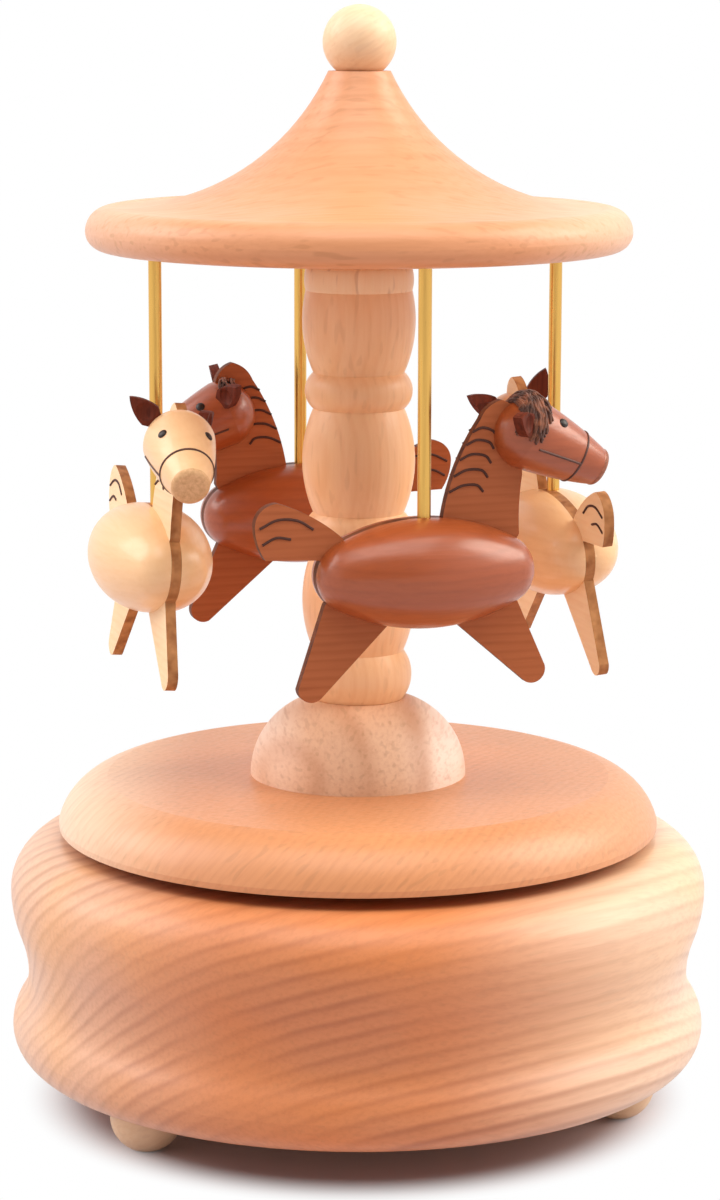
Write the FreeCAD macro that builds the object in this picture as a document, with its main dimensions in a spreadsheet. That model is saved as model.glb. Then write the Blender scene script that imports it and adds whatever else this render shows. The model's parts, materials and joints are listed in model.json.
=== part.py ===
import FreeCAD, Part
import math
import os
import re
import Sketcher

V = FreeCAD.Vector
doc = FreeCAD.newDocument("carousel_music_box")

# Driving dimensions, in millimetres and degrees
SIZES = {
    # turned base on its three balls
    "base_radius": 55.0, "base_height": 35.4, "waist_depth": 2.6,
    "lower_swell": 5.5, "waist_level": 13.8, "upper_swell": 27.6,
    "cavity_radius": 36.0, "ledge_radius": 33.2, "ledge_thick": 4.0, "top_board": 6.0,
    "cover_radius": 37.2, "cover_thick": 3.0, "cover_fit": 0.15,
    "foot_radius": 5.6, "foot_flat": 0.4, "foot_stand": 7.0, "foot_circle": 43.2, "foot_angle": -138.0,
    "screw_radius": 1.0, "screw_head": 1.9, "cover_screw_circle": 35.2, "cover_screw_length": 6.0,
    # bearing between base and turntable
    "spindle_radius": 2.5, "running_fit": 0.05, "bush_radius": 4.0, "bush_flange": 6.0,
    "flange_thick": 0.8, "disc_gap": 2.0, "spindle_sink": 5.5,
    # turntable, collar, column, roof, finial
    "disc_radius": 47.3, "disc_thick": 7.8, "disc_top_radius": 39.6, "disc_land": 0.9, "disc_bevel": 9.4,
    "collar_radius": 17.0, "collar_height": 12.2, "collar_top": 7.5,
    "column_length": 70.5, "bead_radius": 8.4, "bulge_radius": 8.8, "groove_radius": 7.1,
    "bead_height": 5.6, "bulge_height": 16.3, "dowel_radius": 3.0, "dowel_sink": 9.0,
    "roof_radius": 42.1, "roof_under": 39.4, "roof_rim": 37.3, "rim_drop": 2.8, "rim_thick": 6.4,
    "roof_height": 27.1, "neck_radius": 4.8, "roof_sweep": 36.0,
    "finial_radius": 5.65, "finial_seat": 1.25, "finial_peg": 1.5, "finial_peg_sink": 4.0,
    # horses on their poles
    "pole_circle": 32.4, "pole_radius": 1.0, "pole_roof_sink": 4.5, "pole_body_sink": 2.5,
    "first_horse": -72.7, "horse_level": 88.6,
    "body_half": 16.75, "body_radius": 8.2, "body_end": 5.4, "board_thick": 1.6, "toe_radius": 2.1,
    "head_length": 18.5, "head_radius": 5.45, "head_back": 5.0, "head_swell": 60.0,
    "nose_radius": 2.9, "nose_round": 0.9, "pattern_square": 1.0,
    "ear_length": 5.8, "ear_half": 1.8, "ear_root": 1.6, "ear_side": 7.0, "ear_thick": 1.5,
    "scoop_radius": 2.0, "scoop_depth": 0.6,
    # how each horse hangs and how its head was glued on
    "front_dark_lift": 1.1, "front_dark_forward": 15.5, "front_dark_up": 20.2,
    "front_dark_tilt": 26.0, "front_dark_yaw": 0.0, "front_dark_roll": 0.0, "front_dark_out": 0.0,
    "right_light_lift": -0.8, "right_light_forward": 13.0, "right_light_up": 17.2,
    "right_light_tilt": 21.0, "right_light_yaw": 0.0, "right_light_roll": -5.0, "right_light_out": 0.0,
    "back_dark_lift": 0.5, "back_dark_forward": 13.0, "back_dark_up": 16.9,
    "back_dark_tilt": 26.0, "back_dark_yaw": 0.0, "back_dark_roll": 0.0, "back_dark_out": 0.0,
    "left_light_lift": -0.3, "left_light_forward": 13.2, "left_light_up": 19.1,
    "left_light_tilt": 21.0, "left_light_yaw": -5.0, "left_light_roll": -4.5, "left_light_out": 1.2,
    # music movement under the top board
    "bed_thick": 2.5, "bed_back": -13.0, "bed_front": 29.4, "bed_right": -21.0, "bed_left": 18.0,
    "bed_corner": 5.0, "bed_screw_sink": 3.5, "screw_head_height": 1.2,
    "housing_radius": 10.0, "housing_wall": 0.7, "housing_height": 10.5,
    "spring_strip": 0.35, "spring_turns": 5.0, "spring_wide": 8.4, "spring_inside": 3.4,
    "wheel_thick": 1.8, "wheel_radius": 13.6, "wheel_drop": 1.0, "crown_height": 1.0, "crown_inner": 11.1,
    "crown_outer": 13.3, "crown_teeth": 48, "nut_radius": 4.2, "nut_thick": 1.7,
    "pinion_teeth": 12, "pinion_pitch": 3.05, "pinion_tip": 3.4, "pinion_root": 2.45,
    "pinion_from": 11.3, "pinion_wide": 1.8, "tooth_share": 0.3,
    "arbor_radius": 0.75, "arbor_from": 10.3, "arbor_length": 21.0,
    "drum_radius": 4.9, "drum_from": 14.2, "drum_length": 14.0,
    "pin_radius": 0.2, "pin_height": 0.4, "pin_root": 0.8,
    "train_wheel_teeth": 38, "train_pitch": 7.6, "train_tip": 7.95, "train_root": 7.1,
    "train_from": 30.0, "train_wide": 1.0, "bearing_thick": 0.7, "train_plate_from": 28.7, "train_plate_thick": 0.8,
    "fly_pinion_teeth": 10, "fly_pinion_pitch": 2.0, "fly_pinion_tip": 2.3, "fly_pinion_root": 1.45,
    "fly_offset": 9.7, "fly_from": 15.1, "fly_length": 16.2,
    "worm_wheel_teeth": 20, "worm_wheel_pitch": 3.2, "worm_wheel_tip": 3.5, "worm_wheel_root": 2.75,
    "worm_wheel_from": 20.1, "worm_wheel_wide": 1.8,
    "worm_offset": 14.2, "worm_at": 21.0, "worm_core": 0.8, "worm_tip": 1.5, "worm_height": 6.0,
    "worm_pivot": 0.5, "worm_bottom": 12.6, "frame_thick": 1.0, "frame_foot": 1.2,
    "blade_half": 4.4, "blade_height": 4.0, "blade_thick": 0.3, "hub_radius": 1.1,
    "comb_tip": 5.55, "comb_reach": 20.5, "comb_from": 14.4, "comb_length": 13.5, "comb_thick": 0.9,
    "comb_teeth": 18, "comb_slot": 0.25, "comb_treble": 7.0, "comb_bass": 11.0, "comb_heel": 3.6,
}

sheet = doc.addObject("Spreadsheet::Sheet", "sizes")
for row, (name, value) in enumerate(SIZES.items(), 1):
    sheet.set(f"A{row}", name)
    sheet.set(f"B{row}", str(value))
    sheet.setAlias(f"B{row}", name)
doc.recompute()
ALIASES = re.compile(r"\b(" + "|".join(sorted(SIZES, key=len, reverse=True)) + r")\b")


def size(words):
    """The value of an expression in the sheet's own names."""
    return float(sheet.evalExpression(words))


def bind(thing, prop, words):
    """Ties one property of an object to an expression of the sheet."""
    thing.setExpression(prop, ALIASES.sub(r"sizes.\1", words))


# Levels above the floor, in the sheet's names
DISC_LEVEL = "(foot_stand + base_height + disc_gap)"
DISC_TOP = f"({DISC_LEVEL} + disc_thick)"
COLUMN_LEVEL = f"({DISC_TOP} + collar_height)"
ROOF_LEVEL = f"({COLUMN_LEVEL} + column_length)"
ROOF_TOP = f"({ROOF_LEVEL} + roof_height)"
CEILING = "(foot_stand + base_height - top_board)"
BED_LEVEL = f"({CEILING} - bed_thick)"
WHEEL_TOP = f"({BED_LEVEL} - housing_height - wheel_drop)"
ARBOR_LEVEL = f"({WHEEL_TOP} + crown_height / 2 + pinion_pitch)"


def place(thing, x="0", y="0", z="0"):
    """Moves an object to a point given in the sheet's names."""
    for axis, words in zip("xyz", (x, y, z)):
        if words != "0":
            bind(thing, f"Placement.Base.{axis}", words)
    return thing


def plane_of(body, role):
    return next(item for item in body.Origin.OriginFeatures if item.Role == role)


def arc_through(start, end, radius, side):
    """The arc of less than half a turn from start to end with its centre on the named side."""
    along = end - start
    reach = math.sqrt(max(radius ** 2 - along.Length ** 2 / 4, 0))
    normal = V(-along.y, along.x, 0).normalize() * (1 if side == "left" else -1)
    centre = (start + end) / 2 + normal * reach
    first, last = (start, end) if side == "left" else (end, start)
    angles = [math.atan2(point.y - centre.y, point.x - centre.x) for point in (first, last)]
    circle = Part.Circle(centre, V(0, 0, 1), radius)
    return Part.ArcOfCircle(circle, *angles)


def outline(body, name, role, path):
    """A closed sketch in one of the body's planes. Each step of the path is the (x, y) it leads to, in the sheet's
    names; an arc also gives its radius and the side its centre lies on."""
    sketch = body.newObject("Sketcher::SketchObject", name)
    sketch.AttachmentSupport = [(plane_of(body, role), "")]
    sketch.MapMode = "FlatFace"
    corners = [V(size(step[0]), size(step[1]), 0) for step in path]
    ends = []
    for index, step in enumerate(path):
        start, end = corners[index - 1], corners[index]
        if len(step) == 2:
            sketch.addGeometry(Part.LineSegment(start, end), False)
            ends.append((1, 2))
        else:
            sketch.addGeometry(arc_through(start, end, size(step[2]), step[3]), False)
            ends.append((1, 2) if step[3] == "left" else (2, 1))
    count = len(path)
    for index in range(count):
        follower = (index + 1) % count
        sketch.addConstraint(
            Sketcher.Constraint("Coincident", index, ends[index][1], follower, ends[follower][0]))
    for index, step in enumerate(path):
        for kind, words, axis in (("DistanceX", step[0], -2), ("DistanceY", step[1], -1)):
            if words == "0":
                sketch.addConstraint(Sketcher.Constraint("PointOnObject", index, ends[index][1], axis))
                continue
            rule = sketch.addConstraint(
                Sketcher.Constraint(kind, -1, 1, index, ends[index][1], size(words)))
            bind(sketch, f"Constraints[{rule}]", words)
        if len(step) > 2:
            rule = sketch.addConstraint(Sketcher.Constraint("Radius", index, size(step[2])))
            bind(sketch, f"Constraints[{rule}]", step[2])
    return sketch


def turned(name, path):
    """A lathe-turned body about its own Z axis."""
    body = doc.addObject("PartDesign::Body", name)
    sketch = outline(body, f"{name}_profile", "XZ_Plane", path)
    turning = body.newObject("PartDesign::Revolution", f"{name}_turning")
    turning.Profile = sketch
    turning.ReferenceAxis = (sketch, ["V_Axis"])
    turning.Angle = 360
    return body


def padded(body, name, role, path, thick, symmetric=False):
    """Adds a pad of one outline to a body."""
    sketch = outline(body, f"{name}_outline", role, path)
    pad = body.newObject("PartDesign::Pad", name)
    pad.Profile = sketch
    pad.SideType = "Symmetric" if symmetric else "One side"
    bind(pad, "Length", thick)
    return pad


def cylinder(name, radius, height, x="0", y="0", z="0", along="z"):
    """A plain rod or hole tool along one axis, from the point given."""
    rod = doc.addObject("Part::Cylinder", name)
    bind(rod, "Radius", radius)
    bind(rod, "Height", height)
    if along == "x":
        rod.Placement = FreeCAD.Placement(V(), FreeCAD.Rotation(V(0, 0, 1), V(1, 0, 0)))
    return place(rod, x, y, z)


def block(name, length, width, height, x, y, z):
    box = doc.addObject("Part::Box", name)
    for prop, words in (("Length", length), ("Width", width), ("Height", height)):
        bind(box, prop, words)
    return place(box, x, y, z)


def joined(name, pieces):
    group = doc.addObject("Part::Compound", name)
    group.Links = pieces
    return group


def fused(name, pieces):
    whole = doc.addObject("Part::MultiFuse", name)
    whole.Shapes = pieces
    return whole


def cut(name, base, tool):
    result = doc.addObject("Part::Cut", name)
    result.Base = base
    result.Tool = tool
    return result


NODES = []


def node(thing, label):
    """Names a finished sub-part and keeps it for the export."""
    thing.Label = label
    NODES.append(thing)
    return thing


def screw(name, x, y, z, length, up=1):
    """A pan-head screw whose head seats at level z; the shank runs up or down from there."""
    head_level = f"{z} - screw_head_height" if up > 0 else z
    shank_level = z if up > 0 else f"{z} - {length}"
    head = cylinder(f"{name}_head", "screw_head", "screw_head_height", x, y, head_level)
    shank = cylinder(f"{name}_shank", "screw_radius", length, x, y, shank_level)
    return fused(name, [head, shank])


def spoke(angle, radius):
    """The x and y of a point on a circle, in the sheet's names."""
    return f"{radius} * cos(({angle}) * 1deg)", f"{radius} * sin(({angle}) * 1deg)"


# Turned base
half_low = "(waist_depth^2 + (waist_level - lower_swell)^2) / 4 / waist_depth"
half_high = "(waist_depth^2 + (upper_swell - waist_level)^2) / 4 / waist_depth"
mid_radius = "(base_radius - waist_depth / 2)"
shoulder = "(base_height - upper_swell)"
base_blank = place(turned("base_blank", [
    ("cover_radius + cover_fit", "0"),
    ("base_radius - lower_swell", "0"),
    ("base_radius", "lower_swell", "lower_swell", "left"),
    (mid_radius, "(lower_swell + waist_level) / 2", half_low, "left"),
    ("base_radius - waist_depth", "waist_level", half_low, "right"),
    (mid_radius, "(waist_level + upper_swell) / 2", half_high, "right"),
    ("base_radius", "upper_swell", half_high, "left"),
    (f"base_radius - {shoulder}", "base_height", shoulder, "left"),
    ("bush_radius", "base_height"),
    ("bush_radius", "base_height - top_board"),
    ("cavity_radius", "base_height - top_board"),
    ("cavity_radius", "cover_thick + ledge_thick"),
    ("ledge_radius", "cover_thick + ledge_thick"),
    ("ledge_radius", "cover_thick"),
    ("cover_radius + cover_fit", "cover_thick"),
]), z="foot_stand")

# Ball feet, each with a small flat to stand on
balls = []
for index in range(3):
    ball = doc.addObject("Part::Sphere", f"foot_{index}")
    bind(ball, "Radius", "foot_radius")
    bind(ball, "Angle1", "-asin((foot_radius - foot_flat) / foot_radius)")
    x, y = spoke(f"foot_angle + {120 * index}", "foot_circle")
    balls.append(place(ball, x, y, "foot_radius - foot_flat"))
feet = node(joined("feet_group", balls), "ball_feet")

# Screws that hold the cover and the movement
cover_screws = []
for index in range(3):
    x, y = spoke(f"foot_angle + 60 + {120 * index}", "cover_screw_circle")
    cover_screws.append(screw(f"cover_screw_{index}", x, y, "foot_stand + screw_head_height", "cover_screw_length"))
cover_screws = node(joined("cover_screw_group", cover_screws), "cover_screws")
bed_screws = []
for index, (x, y) in enumerate((("bed_back + 4", "bed_left - 4"), ("bed_back + 4", "bed_right + 4"),
                                ("bed_front - 4", "bed_left - 3"))):
    bed_screws.append(screw(f"bed_screw_{index}", x, y, BED_LEVEL, "(bed_thick + bed_screw_sink)"))
bed_screws = node(joined("bed_screw_group", bed_screws), "movement_screws")
base_tools = joined("base_tools", [feet, cover_screws, bed_screws])
node(cut("base_cut", base_blank, base_tools), "base_shell")
cover_blank = cylinder("cover_blank", "cover_radius", "cover_thick", z="foot_stand")
node(cut("cover_cut", cover_blank, cover_screws), "cover_plate")

# Bearing of the turntable
node(place(turned("bush", [
    ("spindle_radius + running_fit", "0"),
    ("bush_radius", "0"),
    ("bush_radius", "top_board"),
    ("bush_flange", "top_board"),
    ("bush_flange", "top_board + flange_thick"),
    ("spindle_radius + running_fit", "top_board + flange_thick"),
]), z=CEILING), "spindle_bush")
node(place(turned("washer", [
    ("spindle_radius + running_fit", "0"),
    ("bush_flange", "0"),
    ("bush_flange", "disc_gap - flange_thick"),
    ("spindle_radius + running_fit", "disc_gap - flange_thick"),
]), z="foot_stand + base_height + flange_thick"), "thrust_washer")
SPINDLE_FOOT = f"({WHEEL_TOP} - wheel_thick - nut_thick - 0.3)"
node(cylinder("spindle_rod", "spindle_radius", f"{DISC_LEVEL} + spindle_sink - {SPINDLE_FOOT}", z=SPINDLE_FOOT),
     "spindle")

# Turntable, collar, column, roof and finial
node(place(turned("disc", [
    ("0", "spindle_sink"),
    ("spindle_radius", "spindle_sink"),
    ("spindle_radius", "0"),
    ("disc_radius", "0"),
    ("disc_radius", "disc_land"),
    ("disc_top_radius", "disc_thick", "disc_bevel", "left"),
    ("0", "disc_thick"),
]), z=DISC_LEVEL), "turntable_disc")
dome = "((collar_radius - collar_top)^2 + collar_height^2) / 2 / (collar_radius - collar_top)"
node(place(turned("collar", [
    ("dowel_radius", "0"),
    ("collar_radius", "0"),
    ("collar_top", "collar_height", dome, "left"),
    ("dowel_radius", "collar_height"),
]), z=DISC_TOP), "dome_collar")


def bulge(height, radius):
    """The radius of the arc that swells from groove to groove over one height."""
    rise = f"({radius} - groove_radius)"
    return f"(({height} / 2)^2 + {rise}^2) / 2 / {rise}"


# the top bead runs up into the roof's underside, so it takes what is left of the column's length
FOOT_BEAD = "(column_length - 3 * bulge_height - 2.5 * bead_height)"
column_path = [("dowel_radius", "0"), ("groove_radius", "0"),
               ("groove_radius", FOOT_BEAD, bulge(FOOT_BEAD, "bead_radius"), "left")]
level = FOOT_BEAD
for turn in range(3):
    level = f"{level} + bulge_height"
    column_path.append(("groove_radius", level, bulge("bulge_height", "bulge_radius"), "left"))
    if turn < 2:
        level = f"{level} + bead_height"
        column_path.append(("groove_radius", level, bulge("bead_height", "bead_radius"), "left"))
quarter = "((bead_height / 2)^2 + (bead_radius - groove_radius)^2) / 2 / (bead_radius - groove_radius)"
column_path += [("bead_radius", "column_length", quarter, "left"),
                ("dowel_radius", "column_length"),
                ("dowel_radius", "column_length - dowel_sink"), ("0", "column_length - dowel_sink"),
                ("0", "dowel_sink"), ("dowel_radius", "dowel_sink")]
node(place(turned("column_turning", column_path), z=COLUMN_LEVEL), "column")
node(cylinder("low_dowel", "dowel_radius", "collar_height + dowel_sink", z=DISC_TOP), "lower_dowel")
node(cylinder("high_dowel", "dowel_radius", "2 * dowel_sink", z=f"{ROOF_LEVEL} - dowel_sink"), "upper_dowel")

lower_rim = "((roof_radius - roof_under)^2 + rim_drop^2) / 2 / (roof_radius - roof_under)"
upper_rim = ("((roof_radius - roof_rim)^2 + (rim_thick - rim_drop)^2) / 2"
             " / (roof_radius - roof_rim)")
roof_blank = place(turned("roof_blank", [
    ("dowel_radius", "0"),
    ("roof_under", "0"),
    ("roof_radius", "rim_drop", lower_rim, "left"),
    ("roof_rim", "rim_thick", upper_rim, "left"),
    ("neck_radius", "roof_height", "roof_sweep", "right"),
    ("finial_peg", "roof_height"),
    ("finial_peg", "roof_height - finial_peg_sink"),
    ("0", "roof_height - finial_peg_sink"),
    ("0", "dowel_sink"),
    ("dowel_radius", "dowel_sink"),
]), z=ROOF_LEVEL)
FINIAL_CENTRE = f"({ROOF_TOP} + finial_radius - finial_seat)"
ball = doc.addObject("Part::Sphere", "finial_blank")
bind(ball, "Radius", "finial_radius")
bind(ball, "Angle1", "-asin((finial_radius - finial_seat) / finial_radius)")
place(ball, z=FINIAL_CENTRE)
peg = node(cylinder("finial_peg_rod", "finial_peg", "2 * finial_peg_sink", z=f"{ROOF_TOP} - finial_peg_sink"),
           "finial_dowel")
node(cut("finial_cut", ball, peg), "finial_ball")

# Horses: a flat board between two half-round body halves, a turned head with scooped ears, on a brass pole
FLANK = "((body_half^2 + body_radius^2 - 2 * body_half * body_end) / 2 / (body_radius - body_end))"
BEND_X = f"((body_half - body_end) * {FLANK} / ({FLANK} - body_end))"
BEND_Y = f"(body_end * ({FLANK} - body_radius) / ({FLANK} - body_end))"
# the board's outlines in squares of its pattern; words are sizes of the sheet
NECK = [(13.4, 3), (2.4, 4), (2.7, 8.3), (8.4, 22.4, 36, "right"), (11.7, 25.2, 4.6, "right"),
        (14.6, 22.4, 4.2, "right"), (15, 14), (14.6, 5.2, 40, "left")]
TAIL = [(-12, 1.6), (-16.5, 2.6), (-24.4, 2.9), (-26, 7.6, 9, "right"), (-22.6, 11.2, 3.4, "right"),
        (-12.6, 5.6, 26, "right")]
HIND_LEG = [(-5, -4), (-13.4, -1.5), (-15.4, -4.1), (-19.5, -16.6), (-15.8, -17.8, "toe_radius", "left"),
            (-5.6, -7.4)]
FORE_LEG = [(13.4, -1.5), (5, -4), (4.4, -7.4), (15.9, -17.3), (18.9, -14.9, "toe_radius", "left"),
            (14.3, -4.6)]
# each ear: where it leaves the head, where it points and where its hollow looks, as forward, left, up
HORSES = {
    "front_dark": (((-0.6, -4.4, 1.2), (-0.6, -0.7, 0.35), (0.6, -0.75, 0)),
                   ((-0.6, 4.4, 1.2), (-0.6, 0.7, 0.35), (0.6, 0.75, 0))),
    "right_light": (((-0.8, -2.8, 3.5), (-0.1, -0.4, 0.9), (1, -0.3, 0)),
                    ((-0.8, 3.5, 2.7), (-0.1, 0.83, 0.55), (1, 0.3, 0))),
    "back_dark": (((-0.6, -3.6, 2.6), (0.1, -0.6, 0.8), (1, -0.3, 0)),
                  ((1.4, 3.7, 2.3), (-0.25, 0.8, 0.5), (0.8, 0.5, -0.2))),
    "left_light": (((-0.8, -3.3, 3.0), (-0.1, -0.77, 0.63), (1, -0.2, 0)),
                   ((-2.0, 3.5, 2.4), (-0.88, 0.34, 0.32), (0.3, 0.9, 0))),
}


def drawn(path):
    """Turns an outline in pattern squares into the sheet's names."""
    return [tuple(f"{item} * pattern_square" if isinstance(item, (int, float)) else item for item in step)
            for step in path]


def horse_frame(index, label):
    """The frame of one horse: forward along its travel, left to the column, up; origin at the body's middle."""
    angle = size("first_horse") + 90 * index
    spin = FreeCAD.Rotation(V(0, 0, 1), angle + 90)
    where = FreeCAD.Rotation(V(0, 0, 1), angle).multVec(V(size("pole_circle"), 0, 0))
    hang = FreeCAD.Placement(where + V(0, 0, size(f"horse_level + {label}_lift")), spin)
    lean = FreeCAD.Rotation(V(1, 0, 0), size(f"{label}_roll"))
    return hang.multiply(FreeCAD.Placement(V(0, -size(f"{label}_out"), 0), lean))


def ear(name, place_of):
    """A leaf-shaped ear and the same ear with its hollow; it grows from the place given along that frame's Z."""
    leaf = doc.addObject("PartDesign::Body", f"{name}_leaf")
    padded(leaf, f"{name}_pad", "XZ_Plane", [
        ("ear_half", "ear_root"), ("0", "ear_length", "ear_side", "left"), ("-ear_half", "ear_root", "ear_side", "left"),
        ("-ear_half / 2", "0"), ("ear_half / 2", "0")], "ear_thick", True)
    leaf.Placement = place_of
    scoop = doc.addObject("Part::Sphere", f"{name}_scoop")
    bind(scoop, "Radius", "scoop_radius")
    middle = V(0, -size("ear_thick / 2 + scoop_radius - scoop_depth"), size("ear_length") * 0.45)
    scoop.Placement = place_of.multiply(FreeCAD.Placement(middle, FreeCAD.Rotation()))
    return leaf, cut(f"{name}_cut", leaf, scoop)


def half_body(name, frame, flip):
    """One half of the oval body, before it is drilled for the pole."""
    body = doc.addObject("PartDesign::Body", name)
    sketch = outline(body, f"{name}_profile", "XZ_Plane", [
        ("-body_half", "0"),
        (f"-{BEND_X}", BEND_Y, "body_end", "right"),
        (BEND_X, BEND_Y, FLANK, "right"),
        ("body_half", "0", "body_end", "right"),
    ])
    turning = body.newObject("PartDesign::Revolution", f"{name}_turning")
    turning.Profile = sketch
    turning.ReferenceAxis = (sketch, ["H_Axis"])
    turning.Angle = 180
    doc.recompute()
    if turning.Shape.BoundBox.Center.y < 0:
        turning.Reversed = True
    side = FreeCAD.Rotation(V(0, 0, 1), 180 if flip else 0)
    offset = V(0, (-1 if flip else 1) * size("board_thick") / 2, 0)
    body.Placement = frame.multiply(FreeCAD.Placement(offset, side))
    return body


def horse(index, label):
    frame = horse_frame(index, label)
    # head, turned about an axis that dips toward the nose
    head = turned(f"{label}_head_blank", [
        ("0", "0"),
        ("head_radius", "head_back", "(head_radius^2 + head_back^2) / 2 / head_back", "left"),
        ("nose_radius", "head_length - nose_round", "head_swell", "left"),
        ("nose_radius - nose_round", "head_length", "nose_round", "left"),
        ("0", "head_length"),
    ])
    yaw = FreeCAD.Rotation(V(0, 0, 1), size(f"{label}_yaw"))
    tilt = FreeCAD.Rotation(V(0, 1, 0), 90 + size(f"{label}_tilt"))
    head_turn = yaw.multiply(tilt)
    centre = V(size(f"{label}_forward"), 0, size(f"{label}_up"))
    back = centre - head_turn.multVec(V(0, 0, size("head_back")))
    head.Placement = frame.multiply(FreeCAD.Placement(back, head_turn))
    leaves, ears = [], []
    for number, (root, aim, look) in enumerate(HORSES[label]):
        root = centre + yaw.multVec(V(*root)) * size("pattern_square")
        aim, look = yaw.multVec(V(*aim)), yaw.multVec(V(*look))
        across = aim.cross(look)
        stand = FreeCAD.Rotation(across, aim.cross(across), aim, "ZXY")
        leaf, finished = ear(f"{label}_ear_{number}", frame.multiply(FreeCAD.Placement(root, stand)))
        leaves.append(leaf)
        ears.append(finished)
    node(joined(f"{label}_ear_pair", ears), f"{label}_ears")
    node(cut(f"{label}_head_cut", head, joined(f"{label}_ear_tools", leaves)), f"{label}_head")
    # board with neck, tail and legs, drilled for the pole and fitted round the head
    board = doc.addObject("PartDesign::Body", f"{label}_board_blank")
    padded(board, f"{label}_core", "XZ_Plane", [
        (f"-{BEND_X}", f"-{BEND_Y}"),
        (f"-{BEND_X}", BEND_Y, "body_end", "right"),
        (BEND_X, BEND_Y, FLANK, "right"),
        (BEND_X, f"-{BEND_Y}", "body_end", "right"),
        (f"-{BEND_X}", f"-{BEND_Y}", FLANK, "right"),
    ][1:], "board_thick", True)
    for part, path in (("neck", NECK), ("tail", TAIL), ("hind_leg", HIND_LEG), ("fore_leg", FORE_LEG)):
        padded(board, f"{label}_{part}", "XZ_Plane", drawn(path), "board_thick", True)
    board.Placement = frame
    pole = doc.addObject("Part::Cylinder", f"{label}_rod")
    bind(pole, "Radius", "pole_radius")
    bind(pole, "Height", f"{ROOF_LEVEL} + pole_roof_sink - horse_level - {label}_lift + pole_body_sink")
    angle = f"first_horse + {90 * index}"
    place(pole, *spoke(angle, "pole_circle"), f"horse_level + {label}_lift - pole_body_sink")
    node(cut(f"{label}_board_cut", board, joined(f"{label}_board_tools", [head, pole])), f"{label}_board")
    for side, flip in (("outer", True), ("inner", False)):
        half = half_body(f"{label}_{side}_half", frame, flip)
        node(cut(f"{label}_{side}_cut", half, pole), f"{label}_body_{side}")
    return node(pole, f"{label}_pole")


poles = [horse(index, label) for index, label in enumerate(HORSES)]
node(cut("roof_cut", roof_blank, joined("pole_tools", poles)), "roof")

# Movement: bedplate, spring housing and mainspring
bed_body = doc.addObject("PartDesign::Body", "bed_body")
padded(bed_body, "bed_pad", "XY_Plane", [
    ("bed_back + bed_corner", "bed_right"), ("bed_front - bed_corner", "bed_right"),
    ("bed_front", "bed_right + bed_corner", "bed_corner", "left"), ("bed_front", "bed_left - bed_corner"),
    ("bed_front - bed_corner", "bed_left", "bed_corner", "left"), ("bed_back + bed_corner", "bed_left"),
    ("bed_back", "bed_left - bed_corner", "bed_corner", "left"), ("bed_back", "bed_right + bed_corner"),
    ("bed_back + bed_corner", "bed_right", "bed_corner", "left"),
][1:], "bed_thick")
place(bed_body, z=BED_LEVEL)
bed_hole = cylinder("bed_hole", "spindle_radius + running_fit", "bed_thick", z=BED_LEVEL)
pivot_hole = cylinder("pivot_hole", "worm_pivot + running_fit", "1.2", "worm_at", "worm_offset", BED_LEVEL)
node(cut("bed_cut", bed_body, joined("bed_tools", [bed_hole, pivot_hole, bed_screws])), "bedplate")
node(place(turned("housing", [
    ("spindle_radius + 0.3", "0"), ("housing_radius", "0"), ("housing_radius", "housing_height"),
    ("housing_radius - housing_wall", "housing_height"), ("housing_radius - housing_wall", "housing_wall"),
    ("spindle_radius + 0.3", "housing_wall"),
]), z=f"{BED_LEVEL} - housing_height"), "spring_housing")


def spring_strip():
    """A flat spiral of half-turn arcs, wound from the middle out to the housing's wall."""
    halves = int(2 * size("spring_turns"))
    inside, strip = size("spring_inside"), size("spring_strip")
    outside = size("housing_radius - housing_wall") - strip - 0.1
    step = (outside - inside) / halves
    edges = []
    for extra in (0, strip):
        radius, start, sign = inside + extra, V(inside + extra, 0, 0), 1
        for half in range(halves):
            centre = start - V(sign * radius, 0, 0)
            end = centre - V(sign * radius, 0, 0)
            edges.append(Part.Arc(start, centre + V(0, sign * radius, 0), end).toShape())
            start, sign, radius = end, -sign, radius + step
        edges.append((start,))
    inner, outer = edges[:halves], edges[halves + 1:2 * halves + 1]
    first = Part.LineSegment(V(inside, 0, 0), V(inside + strip, 0, 0)).toShape()
    last = Part.LineSegment(edges[halves][0], edges[-1][0]).toShape()
    face = Part.Face(Part.Wire(Part.__sortEdges__(inner + outer + [first, last])))
    return face.extrude(V(0, 0, size("spring_wide")))


spring = doc.addObject("Part::Feature", "spring")
spring.Shape = spring_strip()
node(place(spring, z=f"{BED_LEVEL} - housing_height + housing_wall"), "mainspring")


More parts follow.
